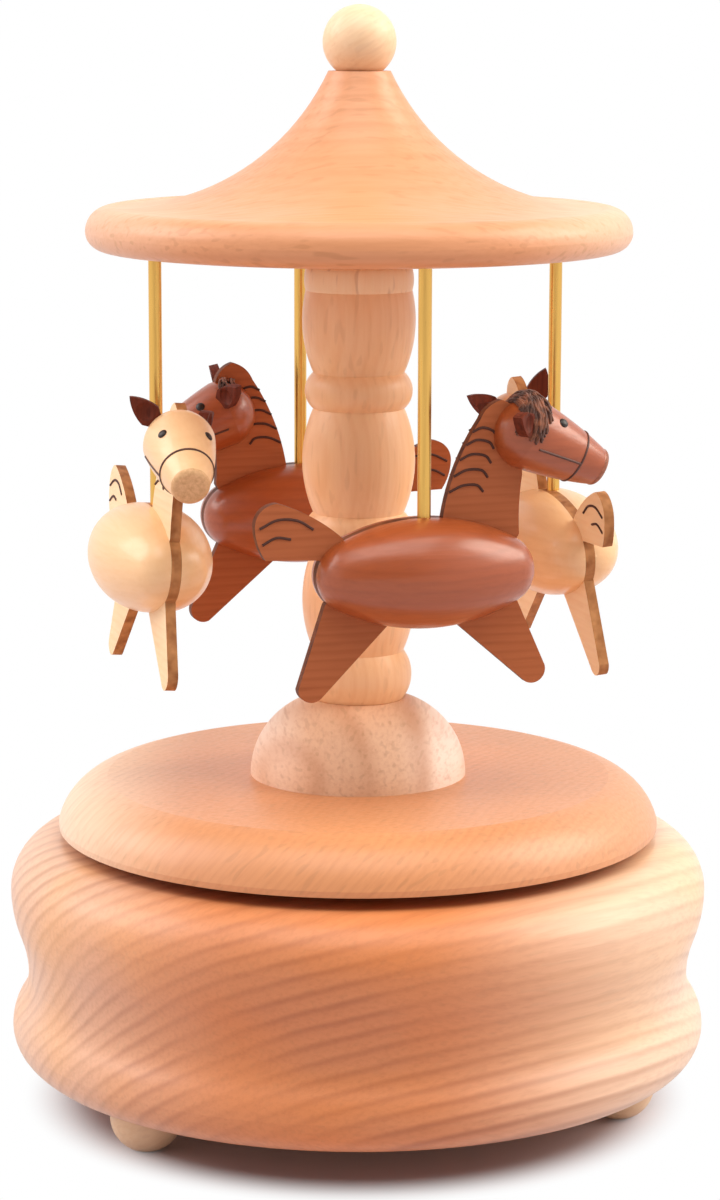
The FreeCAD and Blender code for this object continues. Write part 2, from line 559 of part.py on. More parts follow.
def toothed(name, count, tip, root, pitch, wide, bore, first_angle, half_share="tooth_share / 2"):
    """A spur wheel about its own Z axis, its teeth slimmed for free running."""
    body = doc.addObject("PartDesign::Body", name)
    rim = body.newObject("PartDesign::AdditiveCylinder", f"{name}_rim")
    bind(rim, "Radius", root)
    bind(rim, "Height", wide)
    foot = f"(2 * pi * {pitch} / {count} * {half_share} * 1.25)"
    head = f"(2 * pi * {pitch} / {count} * {half_share} * 0.75)"
    tooth = padded(body, f"{name}_tooth", "XY_Plane", [
        (f"{root} - 0.3", f"-{foot}"), (tip, f"-{head}"), (tip, head), (f"{root} - 0.3", foot)], wide)
    pattern = body.newObject("PartDesign::PolarPattern", f"{name}_teeth")
    pattern.Originals = [tooth]
    pattern.Axis = (plane_of(body, "Z_Axis"), [""])
    pattern.Angle = 360
    bind(pattern, "Occurrences", count)
    body.Tip = pattern
    hole = body.newObject("PartDesign::SubtractiveCylinder", f"{name}_bore")
    bind(hole, "Radius", bore)
    bind(hole, "Height", wide)
    # a wheel that lies along X keeps its first tooth at the angle given, from +Y toward +Z
    lay = FreeCAD.Rotation(V(0, 1, 0), V(0, 0, 1), V(1, 0, 0), "ZXY")
    body.Placement = FreeCAD.Placement(V(), lay.multiply(FreeCAD.Rotation(V(0, 0, 1), first_angle)))
    return body


# Crown wheel on the spindle
crown = doc.addObject("PartDesign::Body", "crown_body")
rim = crown.newObject("PartDesign::AdditiveCylinder", "crown_rim")
bind(rim, "Radius", "wheel_radius")
bind(rim, "Height", "wheel_thick")
CROWN_PITCH = "(2 * pi * (crown_inner + crown_outer) / 2 / crown_teeth)"
crown_foot = f"({CROWN_PITCH} * tooth_share * 0.6)"
crown_tip = f"({CROWN_PITCH} * tooth_share * 0.4)"
tooth = padded(crown, "crown_tooth", "YZ_Plane", [
    (f"-{crown_foot}", "wheel_thick - 0.3"), (crown_foot, "wheel_thick - 0.3"),
    (crown_tip, "wheel_thick + crown_height"), (f"-{crown_tip}", "wheel_thick + crown_height")],
    "crown_outer - crown_inner")
bind(tooth.Profile[0], "AttachmentOffset.Base.z", "crown_inner")
pattern = crown.newObject("PartDesign::PolarPattern", "crown_pattern")
pattern.Originals = [tooth]
pattern.Axis = (plane_of(crown, "Z_Axis"), [""])
pattern.Angle = 360
bind(pattern, "Occurrences", "crown_teeth")
crown.Tip = pattern
hole = crown.newObject("PartDesign::SubtractiveCylinder", "crown_bore")
bind(hole, "Radius", "spindle_radius")
bind(hole, "Height", "wheel_thick")
node(place(crown, z=f"{WHEEL_TOP} - wheel_thick"), "great_wheel")
nut = doc.addObject("Part::Prism", "nut_blank")
nut.Polygon = 6
bind(nut, "Circumradius", "nut_radius")
bind(nut, "Height", "nut_thick")
place(nut, z=f"{WHEEL_TOP} - wheel_thick - nut_thick")
nut_hole = cylinder("nut_hole", "spindle_radius", "nut_thick", z=f"{WHEEL_TOP} - wheel_thick - nut_thick")
node(cut("nut_cut", nut, nut_hole), "spindle_nut")

# Pinned cylinder, its arbor and wheels
arbor = node(cylinder("arbor_rod", "arbor_radius", "arbor_length", "arbor_from", z=ARBOR_LEVEL, along="x"),
             "cylinder_arbor")


def pinned_drum():
    """The drum with one ring of pins for each tooth of the comb, set round it in an uneven order."""
    radius, length = size("drum_radius"), size("drum_length")
    drum = Part.makeCylinder(radius, length, V(), V(1, 0, 0))
    pitch = size("comb_length / comb_teeth")
    first = size("comb_from - drum_from") + pitch / 2
    pins = []
    for track in range(int(size("comb_teeth"))):
        for beat in range(3):
            turn = math.radians(track * 137.5 + beat * 120 + (track * beat) % 5 * 9)
            aim = V(0, math.cos(turn), math.sin(turn))
            start = V(first + track * pitch, 0, 0) + aim * (radius - size("pin_root"))
            pins.append(Part.makeCylinder(size("pin_radius"), size("pin_height + pin_root"), start, aim))
    bore = Part.makeCylinder(size("arbor_radius"), length, V(), V(1, 0, 0))
    return drum.fuse(pins).removeSplitter().cut(bore)


drum = doc.addObject("Part::Feature", "drum")
drum.Shape = pinned_drum()
node(place(drum, "drum_from", z=ARBOR_LEVEL), "pinned_cylinder")
node(place(toothed("pinion", "pinion_teeth", "pinion_tip", "pinion_root", "pinion_pitch", "pinion_wide",
                   "arbor_radius", -90 + 15), "pinion_from", z=ARBOR_LEVEL), "cylinder_pinion")
node(place(toothed("train", "train_wheel_teeth", "train_tip", "train_root", "train_pitch", "train_wide",
                   "arbor_radius", 0), "train_from", z=ARBOR_LEVEL), "cylinder_wheel")

# Bearings that hang from the bedplate
PLATE_DROP = "(arbor_radius + 1.6)"
PLATE_TALL = f"({BED_LEVEL} - {ARBOR_LEVEL} + {PLATE_DROP})"
inner_block = block("inner_block", "bearing_thick", "6", PLATE_TALL,
                    "arbor_from", "-3", f"{ARBOR_LEVEL} - {PLATE_DROP}")
inner_hole = cylinder("inner_hole", "arbor_radius + running_fit", "bearing_thick", "arbor_from",
                      z=ARBOR_LEVEL, along="x")
node(cut("inner_cut", inner_block, inner_hole), "cylinder_bearing")
plate_block = block("plate_block", "train_plate_thick", "fly_offset + 6", PLATE_TALL,
                    "train_plate_from", "-3", f"{ARBOR_LEVEL} - {PLATE_DROP}")
plate_holes = [cylinder(f"plate_hole_{index}", "arbor_radius + running_fit", "train_plate_thick",
                        "train_plate_from", where, ARBOR_LEVEL, "x") for index, where in enumerate(("0", "fly_offset"))]
node(cut("plate_cut", plate_block, joined("plate_tools", plate_holes)), "train_plate")

# Governor: pinion arbor, worm wheel, worm and fan
fly_rod = cylinder("fly_rod", "arbor_radius", "fly_length", "fly_from", "fly_offset", ARBOR_LEVEL, "x")
fly_pinion = place(toothed("fly_leaves", "fly_pinion_teeth", "fly_pinion_tip", "fly_pinion_root", "fly_pinion_pitch",
                           "train_wide", "arbor_radius", 180 + 18), "train_from", "fly_offset", ARBOR_LEVEL)
node(fused("fly_whole", [fly_rod, fly_pinion]), "governor_arbor")
node(place(toothed("worm_gear", "worm_wheel_teeth", "worm_wheel_tip", "worm_wheel_root", "worm_wheel_pitch",
                   "worm_wheel_wide", "arbor_radius", 0), "worm_wheel_from", "fly_offset", ARBOR_LEVEL), "worm_wheel")
WORM_PITCH = "(2 * pi * worm_wheel_pitch / worm_wheel_teeth)"
worm = turned("worm_body", [
    ("0", "0"), ("worm_pivot", "0"), ("worm_pivot", "0.9"), ("worm_core", "0.9"),
    ("worm_core", f"{BED_LEVEL} - worm_bottom - 0.2"), ("worm_pivot", f"{BED_LEVEL} - worm_bottom - 0.2"),
    ("worm_pivot", f"{BED_LEVEL} - worm_bottom + 0.9"), ("0", f"{BED_LEVEL} - worm_bottom + 0.9"),
])
THREAD_FOOT = f"({ARBOR_LEVEL} - worm_bottom - 3 * {WORM_PITCH})"
half_foot = f"({WORM_PITCH} * tooth_share * 0.6)"
half_tip = f"({WORM_PITCH} * tooth_share * 0.4)"
thread = worm.newObject("PartDesign::AdditiveHelix", "worm_thread")
thread.Profile = outline(worm, "thread_profile", "XZ_Plane", [
    ("worm_core - 0.2", f"{THREAD_FOOT} - {half_foot}"), ("worm_tip", f"{THREAD_FOOT} - {half_tip}"),
    ("worm_tip", f"{THREAD_FOOT} + {half_tip}"), ("worm_core - 0.2", f"{THREAD_FOOT} + {half_foot}")])
thread.ReferenceAxis = (thread.Profile[0], ["V_Axis"])
thread.Mode = "pitch-height-angle"
bind(thread, "Pitch", WORM_PITCH)
bind(thread, "Height", f"6 * {WORM_PITCH}")
# the thread passes the wheel half a pitch above its tooth
worm.Placement = FreeCAD.Placement(V(), FreeCAD.Rotation(V(0, 0, 1), 90))
node(place(worm, "worm_at", "worm_offset", "worm_bottom"), "worm_shaft")
FAN_LEVEL = "(worm_bottom + 1.6)"
hub = cylinder("fan_hub", "hub_radius", "blade_height", "worm_at", "worm_offset", FAN_LEVEL)
blade = block("fan_blade", "2 * blade_half", "blade_thick", "blade_height",
              "worm_at - blade_half", "worm_offset - blade_thick / 2", FAN_LEVEL)
fan_bore = cylinder("fan_bore", "worm_core", "blade_height", "worm_at", "worm_offset", FAN_LEVEL)
node(cut("fan_cut", fused("fan_whole", [hub, blade]), fan_bore), "fan_blades")
frame_plate = block("frame_plate", "frame_thick", "worm_offset + 2 - fly_offset + 2", f"{BED_LEVEL} - worm_bottom + 0.4",
                    "fly_from", "fly_offset - 2", "worm_bottom - 0.4")
frame_foot = block("frame_foot_arm", "worm_at - fly_from + 2", "4", "frame_foot",
                   "fly_from", "worm_offset - 2", "worm_bottom - 0.4")
frame_hole = cylinder("frame_hole", "arbor_radius + running_fit", "frame_thick", "fly_from", "fly_offset",
                      ARBOR_LEVEL, "x")
foot_hole = cylinder("foot_hole", "worm_pivot + running_fit", "frame_foot", "worm_at", "worm_offset", "worm_bottom")
node(cut("frame_cut", fused("frame_whole", [frame_plate, frame_foot]), joined("frame_tools", [frame_hole, foot_hole])),
     "governor_frame")

# Comb with its block and screws
COMB_LEVEL = f"({ARBOR_LEVEL} - comb_thick / 2)"
comb_blank = block("comb_blank", "comb_length", "comb_reach - comb_tip", "comb_thick",
                   "comb_from", "-comb_reach", COMB_LEVEL)
slots = []
for index in range(1, int(size("comb_teeth"))):
    share = f"{index} / comb_teeth"
    length = f"(comb_bass + (comb_treble - comb_bass) * {share})"
    slots.append(block(f"comb_slot_{index}", "comb_slot", f"{length} + 1", "comb_thick",
                       f"comb_from + comb_length * {share} - comb_slot / 2",
                       f"-comb_tip - {length}", COMB_LEVEL))
comb_screws = [screw(f"comb_screw_{index}", f"comb_from + {x}", "comb_heel / 2 - comb_reach", COMB_LEVEL,
                     "(comb_thick + 4)") for index, x in enumerate(("3", "comb_length - 3"))]
comb_screws = node(joined("comb_screw_group", comb_screws), "comb_screws")
node(cut("comb_cut", comb_blank, joined("comb_tools", slots + [comb_screws])), "comb")
comb_block = block("comb_block_blank", "comb_length", "comb_heel", f"{BED_LEVEL} - {COMB_LEVEL} - comb_thick",
                   "comb_from", "-comb_reach", f"{COMB_LEVEL} + comb_thick")
node(cut("comb_block_cut", comb_block, comb_screws), "comb_block")

# Build, check and write every sub-part
doc.recompute()
for thing in doc.Objects:
    if {"Invalid", "Error"} & set(thing.State):
        raise RuntimeError(f"{thing.Name} did not build: {thing.State}")
os.makedirs("parts", exist_ok=True)
for thing in NODES:
    if thing.Shape.isNull() or not thing.Shape.isValid() or not thing.Shape.Solids:
        raise RuntimeError(f"{thing.Label} has no valid solid")
    thing.Shape.exportStep(f"parts/{thing.Label}.step")
print(len(NODES), "sub-parts written")
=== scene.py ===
# %% [markdown]
# # Carousel music box
# A turned beech music box with four toy horses. The solids come from the CAD part as they are. This
# script gives them their finishes and adds what is drawn, burnt or glued on by hand: eyes, bridles, mane
# lines, muzzle ends, a small turned bead and forelocks. Each finish is built from nodes, so it can be
# read and changed.

# %% Load the part
import json
import math
import random

import bpy
from mathutils import Matrix, Vector


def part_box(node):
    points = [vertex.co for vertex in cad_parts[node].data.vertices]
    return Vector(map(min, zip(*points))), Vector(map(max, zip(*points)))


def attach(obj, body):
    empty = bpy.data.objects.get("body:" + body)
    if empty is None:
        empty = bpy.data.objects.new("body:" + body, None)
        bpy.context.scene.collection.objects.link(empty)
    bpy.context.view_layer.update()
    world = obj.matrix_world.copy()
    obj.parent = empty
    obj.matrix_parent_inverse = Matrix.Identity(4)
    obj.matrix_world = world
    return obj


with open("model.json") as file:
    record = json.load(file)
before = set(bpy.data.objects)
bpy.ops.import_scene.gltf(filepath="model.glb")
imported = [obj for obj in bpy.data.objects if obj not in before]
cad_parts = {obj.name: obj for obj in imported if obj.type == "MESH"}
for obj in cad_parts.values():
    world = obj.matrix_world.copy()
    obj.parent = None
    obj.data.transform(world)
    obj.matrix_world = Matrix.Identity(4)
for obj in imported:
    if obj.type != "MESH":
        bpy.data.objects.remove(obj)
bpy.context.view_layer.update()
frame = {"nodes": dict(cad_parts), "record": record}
NODES = frame["nodes"]
MM = 0.001
print(len(NODES), "CAD nodes loaded")

# %% [markdown]
# ## Helpers
# Colours are written as the hex codes that a colour picker shows. Shaders work in linear light, so one
# function turns a code to linear values. A second one adds any shader or geometry node with its settings,
# and links or sets each input that is named. A third turns a real size into the scale of a noise.

# %% Colour, scale and node helpers


def rgb(code):
    """A linear RGBA colour from a hex code."""
    parts = [int(code[i:i + 2], 16) / 255 for i in (1, 3, 5)]
    return [c / 12.92 if c <= 0.04045 else ((c + 0.055) / 1.055) ** 2.4 for c in parts] + [1.0]


def every(size):
    """The scale at which a pattern comes round about once in a size in millimetres."""
    return 1 / (size * MM)


def add(tree, kind, inputs=None, **settings):
    """Adds a node; each input is a constant or another node's output socket."""
    made = tree.nodes.new(kind)
    for key, value in settings.items():
        setattr(made, key, value)
    for key, value in (inputs or {}).items():
        if isinstance(value, bpy.types.NodeSocket):
            tree.links.new(value, made.inputs[key])
        else:
            made.inputs[key].default_value = value
    return made


print("a 2 mm pattern has scale", every(2))

# %% [markdown]
# Every finish starts from the same pair of nodes, a Principled shader and its output. Most of them then
# lay one tone over another where a noise is strong, which takes a Map Range and a Mix. The two colours of
# a Mix share their names with its other sockets, so they are reached by number.

# %% Material helpers
MIX_UNDER, MIX_OVER = 6, 7


def blank_material(name):
    """A material that holds only a Principled shader and its output."""
    material = bpy.data.materials.new(name)
    material.use_nodes = True
    tree = material.node_tree
    tree.nodes.clear()
    shader = add(tree, "ShaderNodeBsdfPrincipled")
    add(tree, "ShaderNodeOutputMaterial", {"Surface": shader.outputs[0]})
    return material, tree, shader


def tint(tree, colour, pattern, band, share, tone):
    """Lays a tone over a colour, from none to a share as the pattern rises through a band."""
    amount = add(tree, "ShaderNodeMapRange", {"Value": pattern, "From Min": band[0], "From Max": band[1],
                                              "To Max": share})
    mixed = add(tree, "ShaderNodeMix", {0: amount.outputs[0], MIX_UNDER: colour, MIX_OVER: rgb(tone)},
                data_type="RGBA")
    return mixed.outputs[2]


print("material helpers ready")

# %% [markdown]
# ## Lacquered beech
# Turned beech shows growth layers a few millimetres apart, fine fibres along the grain, and the short
# dark flecks that mark this wood. A picture of wood could be wrapped round each piece, but it would show
# a seam and smear on the curves. Here the wood is a solid pattern that the turned form cuts through. The
# layers are distances from a pith line, bent by noise, so they run round the turned forms as real layers
# do.

# %% Growth layers
# slow darkening through a year, quick return to early wood
YEAR_TONES = ((0.0, 0.0), (0.35, 0.2), (0.7, 1.0), (1.0, 0.0))


def growth_layers(tree, local, drawn, spacing, pith, wander):
    """The tone of each point's place in its year, 0 for early wood and 1 for late wood."""
    section = add(tree, "ShaderNodeMapping", {"Vector": local, "Location": (0, pith * MM, 0),
                                              "Scale": (0, 1, 1)})
    radius = add(tree, "ShaderNodeVectorMath", {0: section.outputs[0]}, operation="LENGTH").outputs["Value"]
    count = add(tree, "ShaderNodeMath", {0: radius, 1: every(spacing)}, operation="MULTIPLY")
    drift = add(tree, "ShaderNodeTexNoise", {"Vector": drawn, "Scale": every(14.29), "Detail": 3.0})
    swing = add(tree, "ShaderNodeMath", {0: drift.outputs["Fac"], 1: 2 * wander, 2: count.outputs[0]},
                operation="MULTIPLY_ADD")
    year = add(tree, "ShaderNodeMath", {0: swing.outputs[0]}, operation="FRACT")
    ramp = add(tree, "ShaderNodeValToRGB", {"Fac": year.outputs[0]})
    ramp.color_ramp.interpolation = "EASE"
    stops = ramp.color_ramp.elements
    for index, (spot, tone) in enumerate(YEAR_TONES):
        stop = stops[index] if index < 2 else stops.new(spot)
        stop.position = spot
        stop.color = (tone, tone, tone, 1)
    return ramp.outputs["Color"]


print(len(YEAR_TONES), "tones in a year")

# %% [markdown]
# Over the layers lie broad warm bands, fibres and flecks. All three are noise drawn out along the grain:
# the smaller the stretch, the longer the mark. The lacquer is duller where the fibres stand up, and a
# slight bump follows them too. Contrast, patch, fibres and flecks are shares from 0 to 1, for the layers,
# the bands and the small marks. Rough and gloss belong to the wood, coat is the lacquer over it, and polish
# is that lacquer's roughness.

# %% Beech finish
BAND_STRETCH, FLECK_STRETCH, FIBRE_STRETCH = 0.12, 0.16, 0.05


def beech(name, early, late, grain, layers, spacing, pith=120.0, wander=0.9, contrast=0.8, patch=0.3,
          warm="#E89C60", fibres=0.3, flecks=0.35, fleck_tone="#B07A50", rough=0.42, gloss=0.5, coat=0.45,
          polish=0.3):
    """Beech cut along its grain, its layers stacked along layers; spacing and pith are in millimetres."""
    material, tree, shader = blank_material(name)
    along = Vector(grain).normalized()
    stack = (Vector(layers) - along * Vector(layers).dot(along)).normalized()
    turn = Matrix((along, stack, along.cross(stack))).to_euler()
    place = add(tree, "ShaderNodeTexCoord").outputs["Object"]
    local = add(tree, "ShaderNodeMapping", {"Vector": place, "Rotation": turn}).outputs[0]
    drawn, dash, hair = [
        add(tree, "ShaderNodeMapping", {"Vector": local, "Scale": (stretch, 1, 1)}).outputs[0]
        for stretch in (BAND_STRETCH, FLECK_STRETCH, FIBRE_STRETCH)]
    # layers that come and go along the grain
    layer = growth_layers(tree, local, drawn, spacing, pith, wander)
    cloud = add(tree, "ShaderNodeTexNoise", {"Vector": drawn, "Scale": every(22.22), "Detail": 2.0})
    fade = add(tree, "ShaderNodeMapRange", {"Value": cloud.outputs["Fac"], "From Min": 0.3, "From Max": 0.7,
                                            "To Min": 0.2 * contrast, "To Max": contrast})
    share = add(tree, "ShaderNodeMath", {0: layer, 1: fade.outputs[0]}, operation="MULTIPLY")
    wood = add(tree, "ShaderNodeMix", {0: share.outputs[0], MIX_UNDER: rgb(early), MIX_OVER: rgb(late)},
               data_type="RGBA")
    # bands about 8 mm wide, flecks about 0.4 by 2.5 mm; fibres are finer than a picture can show, so they
    # are drawn about 0.3 mm wide
    band = add(tree, "ShaderNodeTexNoise", {"Vector": drawn, "Scale": every(16.67), "Detail": 1.0})
    fibre = add(tree, "ShaderNodeTexNoise", {"Vector": hair, "Scale": every(0.625), "Detail": 3.0,
                                             "Roughness": 0.6}).outputs["Fac"]
    fleck = add(tree, "ShaderNodeTexNoise", {"Vector": dash, "Scale": every(0.8696), "Detail": 0.0})
    colour = tint(tree, wood.outputs[2], band.outputs["Fac"], (0.45, 0.75), patch, warm)
    colour = tint(tree, colour, fibre, (0.45, 0.7), fibres, late)
    colour = tint(tree, colour, fleck.outputs["Fac"], (0.64, 0.74), flecks, fleck_tone)
    tree.links.new(colour, shader.inputs["Base Color"])
    dull = add(tree, "ShaderNodeMapRange", {"Value": fibre, "From Min": 0.3, "From Max": 0.75,
                                            "To Min": rough - 0.05, "To Max": rough + 0.12})
    tree.links.new(dull.outputs[0], shader.inputs["Roughness"])
    bump = add(tree, "ShaderNodeBump", {"Height": fibre, "Strength": 0.12, "Distance": 0.3 * MM})
    tree.links.new(bump.outputs[0], shader.inputs["Normal"])
    shader.inputs["Specular IOR Level"].default_value = gloss
    shader.inputs["Coat Weight"].default_value = coat
    shader.inputs["Coat Roughness"].default_value = polish
    return material, tree, shader, colour


print("beech finish ready")

# %% [markdown]
# ## Red middle and painted sheen on the flanks
# The big turnings are redder in the middle and pale towards the flanks. The pale flanks are painted
# sheen, standing in for the side lights' reflection on the finish. The pale tone could be mixed over the
# red, but that would wash out the grain. Multiplying by the ratio of the two tones keeps every layer and
# fibre.

# %% Painted flank sheen


def paint_flank_sheen(made, middle_tone, sheen_tone, flanks):
    """Paints a sheen along x: pales a block towards each flank; a flank is (from, to, share), the first two
    in millimetres.
    """
    material, tree, shader, colour = made
    lift = [pale / deep for pale, deep in zip(rgb(sheen_tone), rgb(middle_tone))]
    place = add(tree, "ShaderNodeSeparateXYZ", {0: add(tree, "ShaderNodeTexCoord").outputs["Object"]})
    for start, end, share in flanks:
        reach = add(tree, "ShaderNodeMapRange", {"Value": place.outputs["X"], "From Min": start * MM,
                                                 "From Max": end * MM, "To Max": share},
                    interpolation_type="SMOOTHSTEP")
        paled = add(tree, "ShaderNodeMix", {0: reach.outputs[0], MIX_UNDER: colour, MIX_OVER: lift},
                    data_type="RGBA", blend_type="MULTIPLY")
        colour = paled.outputs[2]
    tree.links.new(colour, shader.inputs["Base Color"])
    return material


FINISHES = {}
# turned and lacquered beech: bold slanting layers, red in the middle with painted sheen paling both flanks, a
# soft lacquer sheen
FINISHES["base_wood"] = paint_flank_sheen(
    beech("lacquered_beech_base", "#D48959", "#AA613B", (0.77, 0.64, 0.0), (-0.65, 0.78, 1.0), 2.5,
          wander=0.3, contrast=0.75, patch=0.6, warm="#DC8444", fibres=0.2, flecks=0.1, gloss=0.4, coat=0.25),
    "#D98A58", "#F8DABC", ((8, 50, 0.85), (-16, -54, 0.6)))
# the same wood cut flatter: a calm, warm orange with a faint slanting grain; painted sheen pales its left
# flank, and a little its right
FINISHES["disc_wood"] = paint_flank_sheen(
    beech("lacquered_beech_disc", "#D69566", "#BA774A", (0.7, 0.2, 0.75), (-0.7, 0.6, 0.65), 1.3, wander=1.2,
          contrast=0.33, fibres=0.2, flecks=0.25, gloss=0.4, coat=0.3),
    "#DC9A6C", "#FADABE", ((15, 46, 0.1), (-24, -48, 1.0)))
# turned across the grain: short flecks that run round the bell; painted sheen pales both flanks, the right
# one more
FINISHES["roof_wood"] = paint_flank_sheen(
    beech("lacquered_beech_roof", "#DC9B6F", "#C68452", (1, 0.05, 0.02), (0, 0.35, 0.94), 2.4, contrast=0.4,
          fibres=0.25, flecks=0.4, fleck_tone="#BE8050", gloss=0.4, coat=0.25),
    "#DF996A", "#F6D0AE", ((20, 40, 0.5), (-20, -40, 0.35)))
# these finishes carry painted sheen on their flanks over a red middle
print(len(FINISHES), "finishes with a red heart")

# %% [markdown]
# ## Collar, column and small turnings
# The domed collar is cut so that its end grain faces the front, where broad rings show round a pith at
# its left. The column, balls, dowels and cover are plainer woods. They all come from the same beech
# function, because only the colours, the cut and the polish differ.

# %% Plain turnings
RING_LEFT, RING_ABOVE_FOOT = -10.4, 2.0
ring_centre = Vector((RING_LEFT, 0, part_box("dome_collar")[0][2] / MM + RING_ABOVE_FOOT))
# oiled, not lacquered: a dry pinkish wood with broad rings; a painted highlight pales both flanks, the right
# one more
FINISHES["collar_wood"] = paint_flank_sheen(
    beech("oiled_beech_collar", "#F8D2B0", "#CC926A", (0, 1, 0), -ring_centre, 8.0, pith=ring_centre.length,
          wander=0.15, contrast=0.9, flecks=0.2, rough=0.5, coat=0.05),
    "#EDBE96", "#FFE4CC", ((5, 15, 0.9), (-6, -16, 0.6)))
# pale and upright: fine lines from top to foot
FINISHES["column_wood"] = beech(
    "lacquered_beech_column", "#FFD3A2", "#F2B984", (0, 0, 1), (0.8, 0.6, 0), 1.6, contrast=0.4, fibres=0.2,
    flecks=0.12, gloss=0.4, coat=0.3)[0]
# sanded and nearly bare: cream, almost without grain
FINISHES["ball_wood"] = beech(
    "sanded_beech_balls", "#F1D2AC", "#E3B98B", (0.8, 0.2, 0.5), (-0.4, 0.5, 0.8), 1.2, contrast=0.4,
    flecks=0.1, coat=0.1)[0]
# raw wood in the joints: matt and straw-coloured
FINISHES["dowel_wood"] = beech(
    "plain_beech_dowels", "#E6C79C", "#CFA673", (0, 0, 1), (1, 0, 0), 1.2, rough=0.6, coat=0.0)[0]
# raw plywood under the base: matt, with broad pale layers
FINISHES["cover_wood"] = beech(
    "birch_plywood_cover", "#E6CDA4", "#CDA878", (1, 0, 0), (0, 1, 0.2), 4.0, rough=0.6, coat=0.0)[0]
print("ring centre", [round(c, 1) for c in ring_centre], "mm,", len(FINISHES), "finishes so far")

# %% [markdown]
# ## Horse finishes
# Two horses are stained red-brown and two are left natural. Their turned bodies and heads have a glossy
# lacquer, which mirrors the lamps and the white floor. The flat boards were cut by a hot beam, so their
# edges are burnt brown. The edges could be separate pieces. Here they are told from the faces by the
# surface's own direction, which points across the horse on a face but not on an edge.

# %% Burnt edges
FIRST_HORSE = math.radians(-72.7)
ACROSS_DARK = (math.cos(FIRST_HORSE), math.sin(FIRST_HORSE), 0)
ACROSS_LIGHT = (-ACROSS_DARK[1], ACROSS_DARK[0], 0)
ALONG_DARK, ALONG_LIGHT = ACROSS_LIGHT, ACROSS_DARK
UPRIGHT = (0, 0, 1)


def burn_edges(made, across, scorch, tan):
    """Browns the cut edges of a board finish, scorched in patches about a millimetre long."""
    material, tree, shader, colour = made
    place = add(tree, "ShaderNodeTexCoord")
    facing = add(tree, "ShaderNodeVectorMath", {0: place.outputs["Normal"], 1: across},
                 operation="DOT_PRODUCT")
    flat = add(tree, "ShaderNodeMath", {0: facing.outputs["Value"]}, operation="ABSOLUTE")
    edge = add(tree, "ShaderNodeMapRange", {"Value": flat.outputs[0], "From Min": 0.9, "From Max": 0.6})
    patch = add(tree, "ShaderNodeTexNoise", {"Vector": place.outputs["Object"], "Scale": every(2.083),
                                             "Detail": 2.0})
    burnt = tint(tree, rgb(tan), patch.outputs["Fac"], (0.3, 0.75), 1.0, scorch)
    whole = add(tree, "ShaderNodeMix", {0: edge.outputs[0], MIX_UNDER: colour, MIX_OVER: burnt},
                data_type="RGBA")
    tree.links.new(whole.outputs[2], shader.inputs["Base Color"])
    return material


print("burnt edges ready")

# %% [markdown]
# Each horse wears two finishes, lacquer on what was turned and a matt one on the board, and all ears
# share a third. A stain could be a dark layer laid over the natural wood. Here each finish has its own
# pair of tones, because a stain also evens out the grain.

# %% Horse woods
# stained and lacquered: deep red-brown with clear highlights
FINISHES["dark_turned"] = beech(
    "stained_beech_gloss", "#A55024", "#863B16", ALONG_DARK, UPRIGHT, 1.7, contrast=0.4, warm="#B26030",
    fibres=0.2, flecks=0.1, fleck_tone="#7C3A1E", rough=0.38, gloss=0.4, coat=0.62, polish=0.23)[0]
# stained and left matt: a flatter brown with dark edges
FINISHES["dark_board"] = burn_edges(
    beech("stained_beech_board", "#B06640", "#96502E", ALONG_DARK, UPRIGHT, 1.3, contrast=0.4,
          warm="#B0653A", fibres=0.25, flecks=0.1, fleck_tone="#763820", rough=0.5, gloss=0.15, coat=0.0),
    ACROSS_DARK, "#4A200F", "#7A4122")
# natural and lacquered: creamy yellow, hardly any grain
FINISHES["light_turned"] = beech(
    "natural_maple_gloss", "#F4CA98", "#E9B881", ALONG_LIGHT, UPRIGHT, 1.8, contrast=0.3, warm="#F1B87C",
    fibres=0.15, flecks=0.08, fleck_tone="#DDAA74", rough=0.4, coat=0.4, polish=0.2)[0]
# natural and matt: the palest wood, framed by its brown edges
FINISHES["light_board"] = burn_edges(
    beech("natural_maple_board", "#FBDFB6", "#F1CA98", ALONG_LIGHT, UPRIGHT, 1.3, contrast=0.3,
          warm="#F1C088", fibres=0.2, flecks=0.1, fleck_tone="#D9A870", rough=0.5, gloss=0.2, coat=0.0),
    ACROSS_LIGHT, "#8E5830", "#C8905C")
# stained nearly black-brown: ears that stand out on every head
FINISHES["ear_brown"] = beech(
    "stained_ear_wood", "#6A2C1A", "#401709", UPRIGHT, (1, 0, 0), 0.8, contrast=0.5, warm="#7D3A22",
    fleck_tone="#30120A", rough=0.6, gloss=0.2, coat=0.0)[0]
print(len(FINISHES), "finishes so far")

# %% [markdown]
# ## Metal and nylon
# The poles are drawn brass rod with a polish: a clear gold with long soft reflections. The movement is
# stamped and machined brass and plated steel, seen only when the base is opened. A plain metal would look
# like plastic in close views, so a fine noise, drawn out along one axis, varies its gloss as turning
# marks do.

# %% Metal finishes
MARK_SHADE = 0.82


